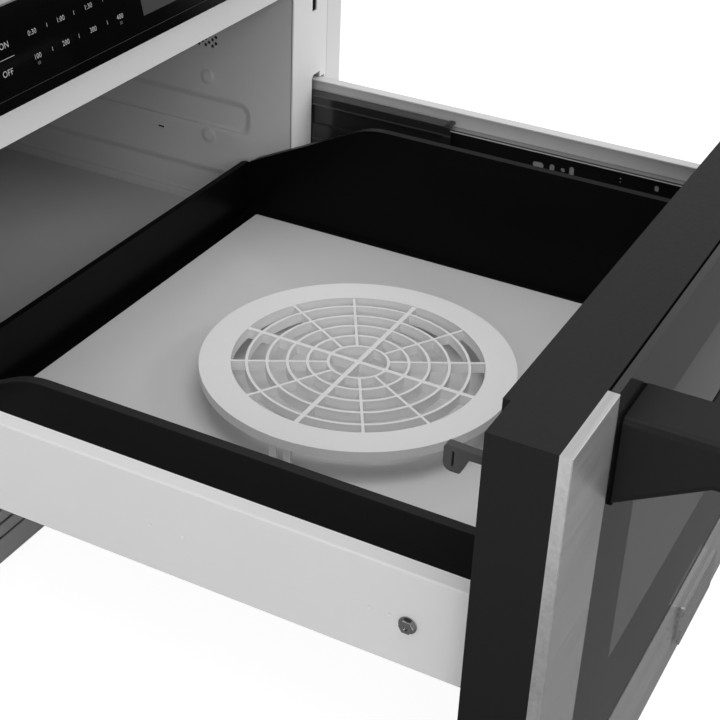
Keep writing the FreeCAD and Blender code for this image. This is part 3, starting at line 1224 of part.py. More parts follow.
# ---- door ----
def hook_pocket_box(y0, y1):
    half = HOOK_T / 2 + HOOK_SIDE_GAP
    low = HOOK_LEVEL - POCKET_HEIGHT / 2
    return box(HOOK_X - half, HOOK_X + half, y0, y1, low, low + POCKET_HEIGHT)


def window_box(y0, y1, margin=0.0):
    half = HALF_FACE - WINDOW_INSET + margin
    return box(-half, half, y0, y1, WINDOW_BOTTOM - margin, WINDOW_TOP + margin)


def glass_seat():
    """Raised patch on the body's front that carries the glass."""
    half = HALF_FACE - STILE_WIDTH - GLASS_FIT - GLASS_SEAT_INSET
    return box(-half, half, GLASS_BACK, BODY_FACE, RAIL_TOP + GLASS_SEAT_INSET, DOOR_TOP - GLASS_SEAT_INSET)


def door_body():
    """Hollow moulding behind the glass, with a wall round the window and lugs for the hooks."""
    body = box(-HALF_FACE, HALF_FACE, BODY_FACE, BODY_BACK, DOOR_BOTTOM, DOOR_TOP)
    hollow = box(-HALF_FACE + DOOR_WALL, HALF_FACE - DOOR_WALL, BODY_FACE + DOOR_FRONT_WALL, BODY_BACK + 1,
                 DOOR_BOTTOM + DOOR_WALL, DOOR_TOP - DOOR_WALL)
    tunnel = window_box(BODY_FACE, BODY_BACK, DOOR_WALL)
    body = body.cut(hollow).fuse([tunnel, glass_seat()])
    half = HOOK_T / 2 + HOOK_SIDE_GAP
    lugs = []
    for x0 in (HOOK_X - half - LUG_T, HOOK_X + half):
        lug = box(x0, x0 + LUG_T, BODY_FACE + DOOR_FRONT_WALL - 0.5, BODY_BACK,
                  HOOK_LEVEL - LUG_HEIGHT / 2, HOOK_LEVEL + LUG_HEIGHT / 2)
        lugs += [lug, mirrored(lug)]
    body = body.fuse(lugs).removeSplitter()
    body = body.cut(window_box(GLASS_BACK - 1, BODY_BACK + 1))
    body = body.cut(window_box(GLASS_BACK - 1, BODY_FACE + SCREEN_T, SCREEN_MARGIN))
    pin = hook_pin()
    return body.cut(pin).cut(mirrored(pin))


def hook_pin():
    half = HOOK_T / 2 + HOOK_SIDE_GAP + LUG_T
    return rod(HOOK_PIN_R, V(HOOK_X - half, PIVOT_Y, HOOK_LEVEL), V(HOOK_X + half, PIVOT_Y, HOOK_LEVEL))


def choke_cover():
    edge = HALF_FACE - CHOKE_MARGIN
    plate = box(-edge, edge, BODY_BACK, CHOKE_FACE, DOOR_BOTTOM + DOOR_WALL, DOOR_TOP)
    pocket = hook_pocket_box(BODY_BACK - 1, CHOKE_FACE + 1)
    plate = plate.cut(window_box(BODY_BACK - 1, CHOKE_FACE + 1))
    return plate.cut(pocket).cut(mirrored(pocket))


def inner_window():
    return window_box(CHOKE_FACE - INNER_PANE_SUNK - INNER_PANE, CHOKE_FACE - INNER_PANE_SUNK)


def door_screen():
    return window_box(BODY_FACE, BODY_FACE + SCREEN_T, SCREEN_MARGIN)


def door_frame():
    """Two stiles and a bottom rail in one folded piece."""
    inner = HALF_FACE - STILE_WIDTH
    corners = [(-HALF_FACE, DOOR_BOTTOM), (HALF_FACE, DOOR_BOTTOM), (HALF_FACE, DOOR_TOP), (inner, DOOR_TOP),
               (inner, RAIL_TOP), (-inner, RAIL_TOP), (-inner, DOOR_TOP), (-HALF_FACE, DOOR_TOP)]
    frame = slab_y(corners, DOOR_FACE, BODY_FACE)
    fronts = [edge for edge in frame.Edges
              if all(abs(v.Point.y - DOOR_FACE) < 1e-6 for v in edge.Vertexes)]
    return frame.makeFillet(FRAME_EDGE, fronts)


def door_glass():
    half = HALF_FACE - STILE_WIDTH - GLASS_FIT
    return box(-half, half, GLASS_FACE, GLASS_BACK, RAIL_TOP + GLASS_FIT, DOOR_TOP)


def badge_plate():
    """Plain plate on a smaller seat, on the frame's bottom rail."""
    half, low = BADGE_WIDTH / 2, DOOR_BOTTOM + BADGE_LEVEL
    high, n = low + BADGE_HEIGHT, BADGE_SEAT_INSET
    back = DOOR_FACE - BADGE_SEAT
    plate = slab_y(rectangle(-half, half, low, high, BADGE_CORNER), back - BADGE_T, back)
    seat = slab_y(rectangle(-half + n, half - n, low + n, high - n), back, DOOR_FACE)
    return joined([plate, seat])


# ---- handle ----
def post_profile():
    """Side view of a post as (y, z): flat top, underside rising towards the bar."""
    back = GLASS_FACE - GASKET_T
    front = DOOR_FACE - HANDLE_REACH
    low_front = POST_TOP - BAR_HEIGHT
    return [(back, POST_TOP - POST_HEIGHT), (back, POST_TOP), (front, POST_TOP, BAR_ROUND),
            (front, low_front, BAR_ROUND), (front + POST_NOSE, low_front, POST_ROUND)]


def handle_post():
    outer = HALF_FACE - POST_INSET
    post = slab_x(post_profile(), outer - POST_WIDTH, outer)
    long_edges = [edge for edge in post.Edges
                  if all(abs(v.Point.x - outer) < 1e-6 for v in edge.Vertexes)
                  and not all(abs(v.Point.y - GLASS_FACE + GASKET_T) < 1e-6 for v in edge.Vertexes)]
    return post.makeFillet(POST_EDGE, long_edges)


def handle_bar():
    front = DOOR_FACE - HANDLE_REACH
    back, low = front + BAR_DEPTH, POST_TOP - BAR_HEIGHT
    corners = [(front, low, BAR_ROUND), (back, low, POST_ROUND),
               (back, POST_TOP, POST_ROUND), (front, POST_TOP, BAR_ROUND)]
    half = HALF_FACE - POST_INSET - POST_WIDTH
    return slab_x(corners, -half, half)


def handle_gaskets():
    outer = HALF_FACE - POST_INSET + GASKET_LIP
    pad = slab_y(rectangle(outer - POST_WIDTH - 2 * GASKET_LIP, outer, POST_TOP - POST_HEIGHT - GASKET_LIP,
                           POST_TOP + GASKET_LIP, GASKET_CORNER), GLASS_FACE - GASKET_T, GLASS_FACE)
    return Part.makeCompound([pad, mirrored(pad)])


# ---- latch ----
def latch_hook():
    """Arm on a pivot with a downward nose."""
    tip = HOOK_TIP
    nose = tip - HOOK_NOSE_LENGTH
    z = HOOK_LEVEL
    low = z - HOOK_ARM_BOTTOM
    corners = [(PIVOT_Y, z + HOOK_ARM_TOP), (PIVOT_Y, low), (nose - HOOK_NOSE_LEAN, low, 1.5),
               (nose, z - HOOK_NOSE_DROP, 1.5), (tip, z - HOOK_NOSE_DROP, 4.5),
               (tip, z + HOOK_NOSE_RISE, 2.0), (nose - HOOK_NOSE_LEAN, z + HOOK_ARM_TOP, 20.0)]
    hook = slab_x(corners, HOOK_X - HOOK_T / 2, HOOK_X + HOOK_T / 2)
    boss = rod(HOOK_BOSS_R, V(HOOK_X - HOOK_T / 2, PIVOT_Y, z), V(HOOK_X + HOOK_T / 2, PIVOT_Y, z))
    hook = joined([hook, boss])
    y0 = tip - HOOK_SLOT_BEHIND
    mark = box(HOOK_X - HOOK_T, HOOK_X + HOOK_T, y0, y0 + HOOK_SLOT, z - HOOK_SLOT_HEIGHT, z)
    bore = rod(HOOK_PIN_R + RUNNING_FIT, V(HOOK_X - HOOK_T, PIVOT_Y, z), V(HOOK_X + HOOK_T, PIVOT_Y, z))
    return hook.cut(mark).cut(bore)


def latch_board():
    """Plastic box behind the front frame that the hook enters, with the interlock switch in it."""
    half = HOOK_T / 2 + HOOK_SIDE_GAP
    y0 = FRONT + FRAME_SHEET
    y1 = y0 + LATCH_BOARD_LENGTH
    low = LATCH_SLOT_HIGH + LATCH_BOARD_WALL - LATCH_BOARD_HEIGHT
    block = box(HOOK_X - half - LATCH_BOARD_WALL, HOOK_X + half + LATCH_BOARD_WALL, y0, y1,
                low, low + LATCH_BOARD_HEIGHT)
    block = block.cut(box(HOOK_X - half, HOOK_X + half, y0 - 1, SWITCH_FRONT,
                          low + LATCH_BOARD_WALL, LATCH_SLOT_HIGH))
    z = PLUNGER_LEVEL
    bore_end = PLUNGER_TIP + PLUNGER_LENGTH + PLUNGER_TRAVEL + 0.5
    return block.cut(rod(PLUNGER_R + RUNNING_FIT, V(HOOK_X, SWITCH_FRONT - 1, z), V(HOOK_X, bore_end, z)))


def switch_plunger():
    tip = V(HOOK_X, PLUNGER_TIP, PLUNGER_LEVEL)
    return rod(PLUNGER_R, tip, tip + V(0, PLUNGER_LENGTH, 0))


# ---- round cooking rack ----
def ring(outer, inner, low, high):
    centre = V(RACK_CENTRE_X, RACK_CENTRE_Y, low)
    body = Part.makeCylinder(outer, high - low, centre)
    return body.cut(Part.makeCylinder(inner, high - low + 2, centre - V(0, 0, 1)))


def round_rack():
    top = GLASS_LEVEL + RACK_STAND
    opening = RACK_R * RACK_OPENING
    low = top - RACK_RIB_DEPTH
    rib_top = top - RACK_RIB_SUNK
    pieces = [ring(RACK_R, opening, top - RACK_RING_T, top),
              ring(RACK_R, RACK_R - RACK_WALL, top - RACK_SKIRT, top),
              ring(opening + RACK_WALL, opening, low, top)]
    for share in RACK_RINGS:
        middle = RACK_R * share
        pieces.append(ring(middle + RACK_RIB / 2, middle - RACK_RIB / 2, low, rib_top))
    hub = RACK_R * RACK_RINGS[0]
    for i in range(RACK_SPOKES):
        main = i % (RACK_SPOKES // 4) == 0
        half = (RACK_MAIN_RIB if main else RACK_RIB) / 2
        start = 0.0 if main else hub
        spoke = box(start, opening + 1, -half, half, low, rib_top)
        spoke.rotate(V(0, 0, 0), V(0, 0, 1), i * 360.0 / RACK_SPOKES)
        spoke.translate(V(RACK_CENTRE_X, RACK_CENTRE_Y, 0))
        pieces.append(spoke)
    for i in range(RACK_LEGS):
        outer = RACK_R - RACK_WALL
        leg = box(outer - RACK_LEG_T, outer, -RACK_LEG_W / 2, RACK_LEG_W / 2, GLASS_LEVEL, top)
        leg = leg.cut(box(0, RACK_R, -RACK_LEG_W / 6, RACK_LEG_W / 6, GLASS_LEVEL + RACK_LEG_FOOT,
                          top - RACK_SKIRT - RACK_LEG_FOOT / 2))
        leg.rotate(V(0, 0, 0), V(0, 0, 1), 180 + (i * 360.0 / RACK_LEGS))
        leg.translate(V(RACK_CENTRE_X, RACK_CENTRE_Y, 0))
        pieces.append(leg)
    return joined(pieces)


def build():
    parts = {
        "base_plate": base_plate(), "outer_wrapper": outer_wrapper(), "rear_panel": rear_panel(),
        "case_screws": case_screws(), "front_frame": front_frame(), "vent_grille": vent_grille(),
        "cavity_liner": cavity_liner(), "cavity_lamp": cavity_lamp(), "waveguide": waveguide(),
        "waveguide_cover": waveguide_cover(), "stirrer_blade": stirrer_blade(),
        "stirrer_motor": stirrer_motor(), "magnetron": magnetron(),
        "transformer_core": transformer_core(), "transformer_coils": transformer_coils(),
        "capacitor": capacitor(), "fan_housing": fan_housing(), "fan_blade": fan_blade(),
        "cord_inlet": cord_inlet(), "panel_housing": panel_housing(), "control_glass": control_glass(),
        "display_lens": display_lens(), "control_board": control_board(), "panel_screws": panel_screws(),
        "drive_pinion": drive_pinion(), "drive_rack": drive_rack(), "drive_motor": drive_motor(),
        "tray_shell": tray_shell(), "floor_glass": floor_glass(), "door_body": door_body(),
        "choke_cover": choke_cover(), "inner_window": inner_window(), "door_screen": door_screen(),
        "door_frame": door_frame(), "door_glass": door_glass(), "badge_plate": badge_plate(),
        "handle_bar": handle_bar(), "handle_gaskets": handle_gaskets(),
        "round_rack": round_rack(),
    }
    pins = hook_pin()
    parts["hook_pins"] = Part.makeCompound([pins, mirrored(pins)])
    for name, shape in (("side_trim", side_trim()), ("case_rail", case_rail()),
                        ("middle_rail", middle_rail()),
                        ("drawer_rail", drawer_rail()), ("side_panel", side_panel()),
                        ("slide_bracket", slide_bracket()), ("handle_post", handle_post()),
                        ("latch_hook", latch_hook()), ("latch_board", latch_board()),
                        ("switch_plunger", switch_plunger())):
        both_sides(name, shape, parts)
    return parts


os.makedirs("parts", exist_ok=True)
for node, solid in build().items():
    solid.exportStep("parts/" + node + ".step")
    print(node, "solids", len(solid.Solids), "valid", solid.isValid(), "cm3", round(solid.Volume / 1000, 2))
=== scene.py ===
"""Looks of a drawer microwave oven: finishes, printed key marks, camera, lamps and floor."""

import math

import bpy
from mathutils import Matrix, Vector


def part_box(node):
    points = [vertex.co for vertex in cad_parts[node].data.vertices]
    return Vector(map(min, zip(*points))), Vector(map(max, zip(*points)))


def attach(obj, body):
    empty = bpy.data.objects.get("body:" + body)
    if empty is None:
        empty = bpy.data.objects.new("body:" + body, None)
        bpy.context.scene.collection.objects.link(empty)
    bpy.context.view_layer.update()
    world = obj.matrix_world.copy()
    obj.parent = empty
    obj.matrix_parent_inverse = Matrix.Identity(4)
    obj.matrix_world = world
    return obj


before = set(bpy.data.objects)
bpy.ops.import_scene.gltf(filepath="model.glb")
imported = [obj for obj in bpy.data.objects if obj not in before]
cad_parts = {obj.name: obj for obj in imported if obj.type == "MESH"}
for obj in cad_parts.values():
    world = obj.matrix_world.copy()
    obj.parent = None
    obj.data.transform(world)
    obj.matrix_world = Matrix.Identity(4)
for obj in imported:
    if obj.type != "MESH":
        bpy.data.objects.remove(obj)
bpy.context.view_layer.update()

MM = 0.001

# ---------------------------------------------------------------- camera and light values
CAMERA_PLACE = Vector((-0.8051, -0.8618, 0.6935))
CAMERA_RIGHT = Vector((0.46734894, -0.88333836, 0.03603202))
CAMERA_DOWN = Vector((-0.45055164, -0.27304484, -0.84997043))
CAMERA_LENS = 77.04
CAMERA_SENSOR = 36.0
CAMERA_CLIP = (0.05, 30.0)

LAMP_POWER = 26.0
LAMPS = (                     # name, place, target, size, power
    ("overhead", (-0.4, -0.95, 2.3), (0.0, -0.5, 0.1), 1.5, 19.0),
    ("key", (-2.6, -1.5, 1.3), (0.0, -0.35, 0.25), 1.4, LAMP_POWER),
    ("fill", (1.0, -2.6, 1.3), (0.0, -0.3, 0.3), 1.4, LAMP_POWER),
)

SKY_LIGHT = 0.528             # the surroundings as light
SKY_GLOSS = 0.64              # as a gleam, on the side away from the camera
ROOM_GLOSS = 0.048            # as a gleam, behind the camera
BACKDROP = (0.894, 0.448, 0.0)
BACKDROP_FROM, BACKDROP_FULL = 0.36, 0.48

FLOOR_SIZE = 12.0
FLOOR_DROP = 0.0005           # below the foot of the case
FLOOR_GLOW = 0.93             # white to the camera
FLOOR_SEEN = 0.22             # how much of its shadow the camera sees
FLOOR_COLOUR = 0.76
FLOOR_GLEAM = 0.34            # its colour in reflections
FLOOR_BACK = 0.50             # its extra gleam behind the object
FLOOR_NEAR, FLOOR_FAR = 0.5, 3.2    # where its gleam starts to fade, and where it has faded
FLOOR_FADED = 0.03            # share of the gleam that is left there
FLOOR_LEFT = 0.8              # its extra gleam left of the object
LEFT_FROM, LEFT_FULL = -0.52, -0.80
DOOR_FOOT_NEAR, DOOR_FOOT_FAR = -0.85, -1.25
DOOR_FOOT_DIM, DOOR_FOOT_BRIGHT = 0.57, 1.3     # share of the gleam at those two places

# ---------------------------------------------------------------- places on the object, in metres
BEAD_LEVELS = (0.18125, 0.11475)     # middle of each bead pressed in the liner's side walls
BEAD_MIDDLE, BEAD_HALF, BEAD_REACH = -0.0494, 0.1824, 0.01275
BEAD_CORNER, BEAD_SHOULDER = 0.009, 0.008
BEAD_RELIEF = 0.0022
BOSS_LEVELS = (0.2123, 0.160)
BOSS_PLACE, BOSS_REACH = -0.193, 0.0057
BOSS_SHOULDER = 0.005
BOSS_RELIEF = 0.0012
WALL_MIDDLE = 0.2             # a height that every wall passes
LINER_FRONT = -0.2738
# painted shade in the gap where the liner meets the frame: half width of the dark line and how much darker
# it is
LINER_SEAM, LINER_SEAM_SHADE = 0.0011, 0.75
SEAM_EDGE = 0.0003            # softness of a thin line
# painted shade in the joint where each trim meets the frame: width of the dark line and how much darker it
# is
TRIM_SEAM, TRIM_SEAM_SHADE = 0.0007, 0.55
# painted shade in the gap round the door glass: width of the dark line and how much darker it is
GLASS_GAP, GLASS_GAP_SHADE = 0.001, 0.85
# painted sheen on the tray's left rim and outer face: where it starts, its grey, its reach and the softness
# of its edge
TRAY_LEFT, TRAY_SHEEN_GREY = -0.200, 0.02
SHEEN_REACH, SHEEN_EDGE = 0.1, 0.002
# painted highlights on the slide rails: the grey of the thin lighter lines along their lips and edges, the
# X they lie between, and their heights
RAIL_HIGHLIGHT_GREY = 0.05
RAIL_IN, RAIL_OUT = 0.2, 0.3
SLIDE_HIGHLIGHTS = tuple((RAIL_IN, RAIL_OUT, low, high, RAIL_HIGHLIGHT_GREY) for low, high in (
    (0.2025, 0.2043), (0.1945, 0.1965), (0.1550, 0.1572), (0.1640, 0.1656)))
# painted highlights on the drawer rails: a lighter strip on the top of the lip, as lit from above, and a
# brighter line along its edge
SEAT_HIGHLIGHTS = ((0.2646, 0.2730, 0.1977, 0.1985, 0.30), (0.2608, 0.2620, 0.1974, 0.1985, 0.50))
WINDOW_CENTRE, WINDOW_HALF = (0.0, -0.707, 0.2043), (0.191, 0.05, 0.0733)
WINDOW_EDGE = 0.0008

# ---------------------------------------------------------------- key marks, in mm along the glass
GLASS_FOOT = Vector((0.0, -0.3168, 0.348))
GLASS_LEAN = math.radians(12.0)
MARK_LIFT = 0.00006           # in metres, off the glass
MARK_COLUMNS = (-138.3, -111.8, -85.0, -57.6)
BAR_COLUMNS = (-124.7, -99.2, -70.8)
MARK_ROWS = (34.6, 20.5)      # foot of each row along the glass
MARK_WORDS = (("0:30", "1:00", "1:30", "2:00"), ("100", "200", "300", "400"))
MARK_HEIGHT = 3.0
SUB_HEIGHT = 1.9
SUB_DROP = 3.4
BAR_WIDTH, BAR_RISE, BAR_SHORTER = 0.35, 0.3, 0.6
KEY_WORDS = (("mark_on", "ON", -163.5, 33.8), ("mark_off", "OFF", -165.5, 18.6))
KEY_TALLER = 0.6
CAPITAL_SHARE = 0.70          # of a letter's size in the font
LETTER_SPACE = 1.04
LETTER_STEPS = 3


# ---------------------------------------------------------------- node helpers
class Graph:
    """A node tree with short words for adding and joining nodes."""

    def __init__(self, tree):
        self.tree = tree

    def add(self, kind, inputs=None, **settings):
        """A new node; inputs are values or sockets by name or place."""
        node = self.tree.nodes.new(kind)
        for name, value in settings.items():
            setattr(node, name, value)
        for name, value in (inputs or {}).items():
            self.feed(value, node.inputs[name])
        return node

    def feed(self, value, socket):
        """Links a socket, or sets a plain value."""
        if isinstance(value, bpy.types.NodeSocket):
            self.tree.links.new(value, socket)
        else:
            socket.default_value = value

    def maths(self, operation, a, b=0.0, clamp=False):
        """One sum on two values or sockets."""
        node = self.add("ShaderNodeMath", {0: a, 1: b}, operation=operation, use_clamp=clamp)
        return node.outputs[0]

    def spread(self, value, low, high, start=0.0, end=1.0, kind="LINEAR"):
        """A value between start and end spread over low to high."""
        node = self.add("ShaderNodeMapRange", {
            "Value": value, "From Min": start, "From Max": end, "To Min": low, "To Max": high},
            interpolation_type=kind)
        return node.outputs[0]

    def vector(self, operation, a, b=None):
        """One vector sum."""
        inputs = {0: a} if b is None else {0: a, 1: b}
        return self.add("ShaderNodeVectorMath", inputs, operation=operation).outputs

    def parts(self, vector):
        """X, Y and Z of a vector."""
        return self.add("ShaderNodeSeparateXYZ", {0: vector}).outputs

    def mix(self, share, low, high):
        """A colour between two colours."""
        node = self.add("ShaderNodeMix", {0: share, 6: low, 7: high}, data_type="RGBA")
        return node.outputs[2]


def node_group(name, inputs, outputs):
    """An empty shader group with named float or vector sockets."""
    tree = bpy.data.node_groups.new(name, "ShaderNodeTree")
    for label, kind, value in inputs:
        socket = tree.interface.new_socket(label, in_out="INPUT", socket_type=kind)
        if value is not None:
            socket.default_value = value
    for label, kind in outputs:
        tree.interface.new_socket(label, in_out="OUTPUT", socket_type=kind)
    graph = Graph(tree)
    return tree, graph, graph.add("NodeGroupInput").outputs, graph.add("NodeGroupOutput").inputs


FLOAT, VECTOR = "NodeSocketFloat", "NodeSocketVector"


def make_brushed_grain():
    """Fine parallel lines, as an abrasive belt leaves them. Stretch sets their direction."""
    tree, g, given, out = node_group(
        "brushed_grain",
        [("Vector", VECTOR, None), ("Stretch", VECTOR, (1.0, 1.0, 1.0)), ("Lines", FLOAT, 900.0)],
        [("Tone", FLOAT), ("Height", FLOAT)],
    )
    stretched = g.vector("MULTIPLY", given["Vector"], given["Stretch"])[0]
    fine = g.add("ShaderNodeTexNoise", {"Vector": stretched, "Scale": given["Lines"],
                                        "Detail": 3.0, "Roughness": 0.6}).outputs[0]
    coarse_scale = g.maths("MULTIPLY", given["Lines"], 0.22)
    coarse = g.add("ShaderNodeTexNoise", {"Vector": stretched, "Scale": coarse_scale,
                                          "Detail": 2.0}).outputs[0]
    tone = g.maths("ADD", g.maths("MULTIPLY", fine, 0.6), g.maths("MULTIPLY", coarse, 0.4))
    g.feed(tone, out["Tone"])
    g.feed(fine, out["Height"])
    return tree


def make_moulded_grain():
    """The fine pebbled skin of a moulded or powder-coated part."""
    tree, g, given, out = node_group(
        "moulded_grain",
        [("Vector", VECTOR, None), ("Size", FLOAT, 900.0)],
        [("Tone", FLOAT), ("Height", FLOAT)],
    )
    pebble = g.add("ShaderNodeTexVoronoi", {"Vector": given["Vector"], "Scale": given["Size"]},
                   feature="SMOOTH_F1").outputs["Distance"]
    soft_scale = g.maths("MULTIPLY", given["Size"], 0.3)
    soft = g.add("ShaderNodeTexNoise", {"Vector": given["Vector"], "Scale": soft_scale,
                                        "Detail": 3.0}).outputs[0]
    g.feed(soft, out["Tone"])
    g.feed(g.maths("ADD", g.maths("MULTIPLY", pebble, 0.7), g.maths("MULTIPLY", soft, 0.5)),
           out["Height"])
    return tree


def make_soft_cloud():
    """Slow, faint changes over a hand's width, such as handling and rolling leave."""
    tree, g, given, out = node_group(
        "soft_cloud",
        [("Vector", VECTOR, None), ("Size", FLOAT, 7.0)],
        [("Tone", FLOAT)],
    )
    cloud = g.add("ShaderNodeTexNoise", {"Vector": given["Vector"], "Scale": given["Size"],
                                         "Detail": 4.0, "Roughness": 0.45}).outputs[0]
    g.feed(cloud, out["Tone"])
    return tree


def make_box_mask():
    """1 inside a box round Centre and 0 outside, with an edge as soft as Edge."""
    tree, g, given, out = node_group(
        "box_mask",
        [("Vector", VECTOR, None), ("Centre", VECTOR, (0.0, 0.0, 0.0)),
         ("Half", VECTOR, (1.0, 1.0, 1.0)), ("Edge", FLOAT, 0.0005)],
        [("Mask", FLOAT)],
    )
    away = g.vector("ABSOLUTE", g.vector("SUBTRACT", given["Vector"], given["Centre"])[0])[0]
    parts = g.parts(g.vector("SUBTRACT", given["Half"], away)[0])
    nearest = g.maths("MINIMUM", g.maths("MINIMUM", parts[0], parts[1]), parts[2])
    g.feed(g.maths("DIVIDE", nearest, given["Edge"], clamp=True), out["Mask"])
    return tree


def make_dot_screen():
    """Round holes of a perforated sheet in rows, on the X and Z of its face."""
    tree, g, given, out = node_group(
        "dot_screen",
        [("Vector", VECTOR, None), ("Pitch", FLOAT, 0.0021), ("Radius", FLOAT, 0.33)],
        [("Mask", FLOAT)],
    )
    parts = g.parts(given["Vector"])
    across = g.maths("SUBTRACT", g.maths("FRACT", g.maths("DIVIDE", parts[0], given["Pitch"])), 0.5)
    up = g.maths("SUBTRACT", g.maths("FRACT", g.maths("DIVIDE", parts[2], given["Pitch"])), 0.5)
    far = g.maths("SQRT", g.maths("ADD", g.maths("MULTIPLY", across, across),
                                  g.maths("MULTIPLY", up, up)))
    g.feed(g.maths("LESS_THAN", far, given["Radius"]), out["Mask"])
    return tree


def make_pressed_outline():
    """1 inside a rounded outline on the Y and Z of a wall, falling softly to 0 over Width."""
    tree, g, given, out = node_group(
        "pressed_outline",
        [("Vector", VECTOR, None), ("Centre", VECTOR, (0.0, 0.0, 0.0)),
         ("Half", VECTOR, (0.0, 1.0, 1.0)), ("Corner", FLOAT, 0.009), ("Width", FLOAT, 0.006)],
        [("Height", FLOAT)],
    )
    away = g.vector("ABSOLUTE", g.vector("SUBTRACT", given["Vector"], given["Centre"])[0])[0]
    parts, sides = g.parts(away), g.parts(given["Half"])
    past_y = g.maths("ADD", g.maths("SUBTRACT", parts[1], sides[1]), given["Corner"])
    past_z = g.maths("ADD", g.maths("SUBTRACT", parts[2], sides[2]), given["Corner"])
    far_y, far_z = g.maths("MAXIMUM", past_y, 0.0), g.maths("MAXIMUM", past_z, 0.0)
    outside = g.maths("SQRT", g.maths("ADD", g.maths("MULTIPLY", far_y, far_y),
                                      g.maths("MULTIPLY", far_z, far_z)))
    inside = g.maths("MINIMUM", g.maths("MAXIMUM", past_y, past_z), 0.0)
    gap = g.maths("SUBTRACT", g.maths("ADD", outside, inside), given["Corner"])
    share = g.maths("DIVIDE", gap, given["Width"])
    g.feed(g.spread(share, 1.0, 0.0, -0.5, 0.5, "SMOOTHSTEP"), out["Height"])
    return tree


BRUSHED, MOULDED, CLOUD = make_brushed_grain(), make_moulded_grain(), make_soft_cloud()
BOX_MASK, DOT_SCREEN, PRESSED = make_box_mask(), make_dot_screen(), make_pressed_outline()


# ---------------------------------------------------------------- finishes
class Finish:
    """One material under way: its graph, its shader and its object coordinates."""

    def __init__(self, name):
        self.material = bpy.data.materials.new(name)
        self.material.use_nodes = True
        tree = self.material.node_tree
        tree.nodes.clear()
        self.g = Graph(tree)
        self.shader = self.g.add("ShaderNodeBsdfPrincipled")
        output = self.g.add("ShaderNodeOutputMaterial")
        tree.links.new(self.shader.outputs[0], output.inputs["Surface"])
        self.place = self.g.add("ShaderNodeTexCoord").outputs["Object"]
        self.relief = None

    def use(self, group, **inputs):
        """A group's outputs, with the object's own coordinates as its Vector."""
        node = self.g.add("ShaderNodeGroup", node_tree=group)
        self.g.feed(self.place, node.inputs["Vector"])
        for name, value in inputs.items():
            self.g.feed(value, node.inputs[name])
        return node.outputs

    def set(self, **values):
        """Plain values of the shader, with _ for a space in a socket's name."""
        for name, value in values.items():
            self.g.feed(value, self.shader.inputs[name.replace("_", " ")])

    def bump(self, height, depth):
        """Relief of that depth in metres, on top of any relief before it."""
        node = self.g.add("ShaderNodeBump", {"Height": height, "Distance": depth})
        if self.relief:
            self.g.feed(self.relief, node.inputs["Normal"])
        self.relief = node.outputs[0]
        self.g.feed(self.relief, self.shader.inputs["Normal"])

    def tint(self, mask, share, colour):
        """Moves the base colour towards another by share where mask is 1."""
        base = self.shader.inputs["Base Color"]
        strength = self.g.maths("MULTIPLY", mask, share)
        self.g.feed(self.g.mix(strength, base.links[0].from_socket, colour), base)

    def darken(self, mask, share):
        """Scales the base colour down by share where mask is 1."""
        self.tint(mask, share, (0.0, 0.0, 0.0, 1.0))

    def lighten(self, mask, level):
        """Puts a grey of that level where mask is 1."""
        self.tint(mask, 1.0, (level, level, level, 1.0))

    def shade(self, tone, colour, change):
        """Base colour that goes a little darker and lighter with tone."""
        dark = [c * (1 - change) for c in colour] + [1.0]
        light = [min(1.0, c * (1 + change)) for c in colour] + [1.0]
        return self.g.mix(tone, dark, light)


def grey(value):
    """An RGB grey."""
    return (value, value, value)


def spray(f, colour, roughness, grain=650.0, depth=0.00002, change=0.06, specular=0.5):
    """Sprayed or baked paint: faint orange peel, and gloss that changes slowly."""
    skin = f.use(MOULDED, Size=grain)
    cloud = f.use(CLOUD, Size=6.0)["Tone"]
    f.g.feed(f.shade(cloud, colour, change), f.shader.inputs["Base Color"])
    f.g.feed(f.g.spread(cloud, roughness * 0.85, min(1.0, roughness * 1.15)),
             f.shader.inputs["Roughness"])
    f.bump(skin["Height"], depth)
    f.set(Specular_IOR_Level=specular)
    return f.material


def painted(name, colour, roughness, **changes):
    """A plain painted finish."""
    return spray(Finish(name), colour, roughness, **changes)


def pressed_paint(name, colour, roughness, **changes):
    """Liner paint over the soft shoulders of the pressed beads and bosses, and painted shade in a dark line
    at the front seam, where the liner meets the frame.
    """
    f = Finish(name)
    spray(f, colour, roughness, **changes)
    for level in BEAD_LEVELS:
        bead = f.use(PRESSED, Centre=(0.0, BEAD_MIDDLE, level), Half=(0.0, BEAD_HALF, BEAD_REACH),
                     Corner=BEAD_CORNER, Width=BEAD_SHOULDER)["Height"]
        f.bump(f.g.maths("SUBTRACT", 1.0, bead), BEAD_RELIEF)
    for level in BOSS_LEVELS:
        boss = f.use(PRESSED, Centre=(0.0, BOSS_PLACE, level), Half=(0.0, BOSS_REACH, BOSS_REACH),
                     Corner=BOSS_REACH, Width=BOSS_SHOULDER)["Height"]
        f.bump(boss, BOSS_RELIEF)
    # painted shade: a thin dark line at the liner's front edge, for the gap at the frame
    seam = f.use(BOX_MASK, Centre=(0.0, LINER_FRONT, WALL_MIDDLE),
                 Half=(1.0, LINER_SEAM, 1.0))["Mask"]
    f.darken(seam, LINER_SEAM_SHADE)
    return f.material


def seamed_paint(name, colour, roughness, inner, **changes):
    """Trim paint with painted shade: a dark line along each inner edge, in the joint where the trim meets
    the frame.
    """
    f = Finish(name)
    spray(f, colour, roughness, **changes)
    # painted shade in the joint between trim and frame
    seam = f.use(BOX_MASK, Centre=(0.0, 0.0, WALL_MIDDLE),
                 Half=(inner + TRIM_SEAM, 1.0, 1.0), Edge=SEAM_EDGE)["Mask"]
    f.darken(seam, TRIM_SEAM_SHADE)
    return f.material


